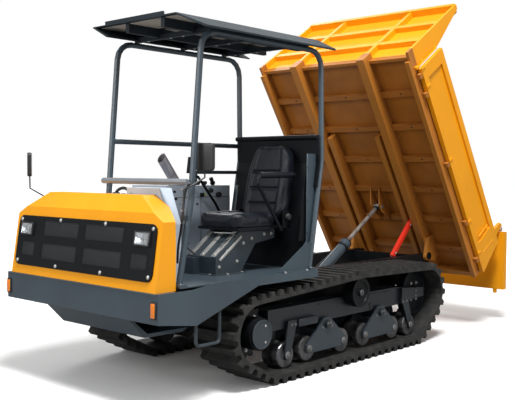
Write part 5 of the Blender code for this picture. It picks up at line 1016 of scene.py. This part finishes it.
# The mirrors
# A moulded black shell with rounded corners on a bent rod holds a silvered glass that looks back.
silver = Finish("mirror_glass", metallic=1.0, roughness=0.03)
film = silver.noise(14, 3)
silver.set(base_color=silver.mix(film, (0.78, 0.8, 0.82), (0.86, 0.88, 0.9)), roughness=film * 0.06 + 0.01)
left_rod = [(0.822, -2.15, 1.26), (0.822, -2.15, 1.44), (0.864, -2.1, 1.475)]
left_rod += [(0.864, -2.0, 1.52), (0.86, -1.995, 1.6)]
left_boss = [(0.822, -2.15, 1.243), (0.822, -2.15, 1.275)]
right_rod = [(-0.8143, -2.105, 1.315), (-0.8143, -2.125, 1.36), (-0.8783, -2.205, 1.42)]
right_rod += [(-0.8753, -2.21, 1.56)]
right_boss = [(-0.8143, -2.105, 1.3), (-0.8143, -2.105, 1.33)]
stands = {
    "left": (left_rod, (0.858, -1.992, 1.655), 10, left_boss, 0.0194),
    "right": (right_rod, (-0.8753, -2.21, 1.605), -35, right_boss, 0.0137),
}
for word, (line, head, turn, boss, boss_radius) in stands.items():
    arm = bmesh.new()
    add_pipe(arm, line, 0.006)
    add_pipe(arm, boss, boss_radius, sides=20)
    facing = turned(head, "Z", turn)
    shell = cuboid((0.145, 0.03, 0.185))
    soften_edges(shell, edges_along(shell, 1, 0.01), 0.026, 6)
    rims = [edge for edge in shell.edges if abs(edge.verts[0].co.y - edge.verts[1].co.y) < 1e-6]
    soften_edges(shell, rims, 0.006, 3)
    stamp(arm, shell, facing)
    whole = finished(f"mirror_arm_{word}", arm, bezel_black, f"mirror_{word}")
    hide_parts(f"mirror_{word}")
    glass = bmesh.new()
    add_block(glass, (-0.062, 0.062), (0.0146, 0.0156), (-0.082, 0.082), 0.0004, facing)
    finished(f"mirror_glass_{word}", glass, silver, f"mirror_{word}")

# The exhaust
# A thin steel tail pipe leans forward over the cover and is cut off at a slant. A black disc
# down its bore stands for its sooty lining and for painted shade inside it.
pipe_foot = Vector((-0.12, -1.345, console_top))
lean_way = Vector((-0.02, -0.42, 0.56)).normalized()
on_pipe = shift(pipe_foot, lean_way)
tail_pipe = round_part([(0.036, 0.1), (0.036, 0.36), (0.0398, 0.36), (0.0398, 0.03), (0.03, 0.03)], 40)
tail_pipe.transform(on_pipe)
mouth = pipe_foot + lean_way * 0.27
level = (lean_way + Vector((0, -0.75, 0))).normalized()
everything = [*tail_pipe.verts, *tail_pipe.edges, *tail_pipe.faces]
cut = bmesh.ops.bisect_plane(tail_pipe, geom=everything, plane_co=mouth, plane_no=level, clear_outer=True)
cut_edges = [item for item in cut["geom_cut"] if isinstance(item, bmesh.types.BMEdge)]
bmesh.ops.bridge_loops(tail_pipe, edges=cut_edges)
# Painted shade with the sooty lining: a black disc down the bore stands for the pipe's dark inside.
bore_soot_and_shade = round_part([(0, 0.1), (0.0362, 0.1), (0.0362, 0.104), (0, 0.104)], 40)
bore_soot_and_shade.transform(on_pipe)
finished("exhaust_bore_shade", bore_soot_and_shade, joint_and_shade_black)
base = bmesh.new()
add_block(base, (-0.175, -0.065), (-1.4, -1.29), (console_top, 1.452), 0.003)
collar_ring = round_part([(0.03, 0.0), (0.05, 0.0), (0.046, 0.034), (0.039, 0.04), (0.03, 0.04)], 32)
stamp(base, collar_ring, on_pipe)
stamp(tail_pipe, base)
whole_pipe = finished("exhaust_pipe", tail_pipe, stack_steel)
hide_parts("exhaust_stack")

# The seat stand's fittings
# Three bright steel strips run down the stand's slope, with a wire guard and bolts beside them.
# A recliner knob, cables, a lever's boot and the armrest's pad finish the driver's place.
on_slope = turned((0, -1.5, 1.0265), "X", 35.8)
struts = bmesh.new()
for x in (0.325, 0.44, 0.555):
    add_block(struts, (x - 0.02, x + 0.02), (-0.142, 0.142), (0.0003, 0.0065), 0.002, on_slope)
    for y in (-0.12, 0.12):
        stamp(struts, bolt, on_slope @ shift((x, y, 0.0065), size=0.75))
add_block(struts, (0.5903, 0.596), (-0.13, 0.15), (-0.052, -0.03), 0.002, on_slope)
wire_guard = [(0.6, -1.42, 1.118), (0.6, -1.475, 1.112), (0.52, -1.49, 1.108), (0.44, -1.49, 1.108)]
add_pipe(struts, wire_guard, 0.005)
finished("stand_struts", struts, zinc)
stand_bolts = bmesh.new()
side_bolts = [(-1.585, 0.87), (-1.5, 0.98), (-1.4, 0.9), (-1.33, 1.03)]
side_bolts += [(-1.24, 1.06), (-1.1, 1.085), (-1.02, 1.085)]
for y, z in side_bolts:
    stamp(stand_bolts, bolt, shift((0.5902, y, z), (1, 0, 0), 0.8))
for z, size in ((1.44, 1.0), (1.3, 1.25), (1.22, 1.0)):
    stamp(stand_bolts, axle_cap, shift((0.79, -2.128, z), (0, 0, 1), 0.45 * size))
finished("stand_bolts", stand_bolts, zinc)
rest_pad = bmesh.new()
add_pipe(rest_pad, [(0.695, -0.9, 1.54), (0.695, -1.26, 1.534)], 0.021, sides=20)
finished("armrest_pad", rest_pad, vinyl, "armrest")
dials = bmesh.new()
stamp(dials, knob, shift((0.6752, -0.94, 1.215), (1, 0, 0), 1.3))
finished("recliner_knob", dials, bezel_black, "seat_base")
cables = bmesh.new()
post_cable = [(0.822, -2.105, 1.47), (0.795, -2.115, 1.44), (0.79, -2.128, 1.27), (0.772, -2.131, 1.15)]
post_cable += [(0.735, -2.12, 1.05), (0.7, -2.09, 0.95)]
cable_runs = [
    (0.009, [(0.02, -1.66, 0.84), (0.12, -1.7, 0.9), (0.22, -1.68, 0.9), (0.27, -1.66, 0.87)]),
    (0.011, [(0.02, -1.6, 0.83), (0.12, -1.62, 0.86), (0.2, -1.6, 0.88), (0.285, -1.55, 0.9)]),
    (0.008, post_cable),
    (0.006, [(0.45, -1.75, 1.045), (0.3, -1.7, 1.03), (0.32, -1.62, 0.98), (0.36, -1.6, 0.95)]),
]
for radius, run in cable_runs:
    add_pipe(cables, run, radius, smooth=True)
finished("floor_cables", cables, hose_rubber)
folds = [(0.03, 0), (0.03, 0.006), (0.024, 0.012), (0.026, 0.018), (0.018, 0.026), (0.02, 0.032)]
lever_boot = round_part([*folds, (0.012, 0.04)], 24)
lever_boot.transform(shift((0.0704, -1.022, 1.205), (1, 0, 0), 0.9))
finished("lever_boot", lever_boot, hose_rubber)
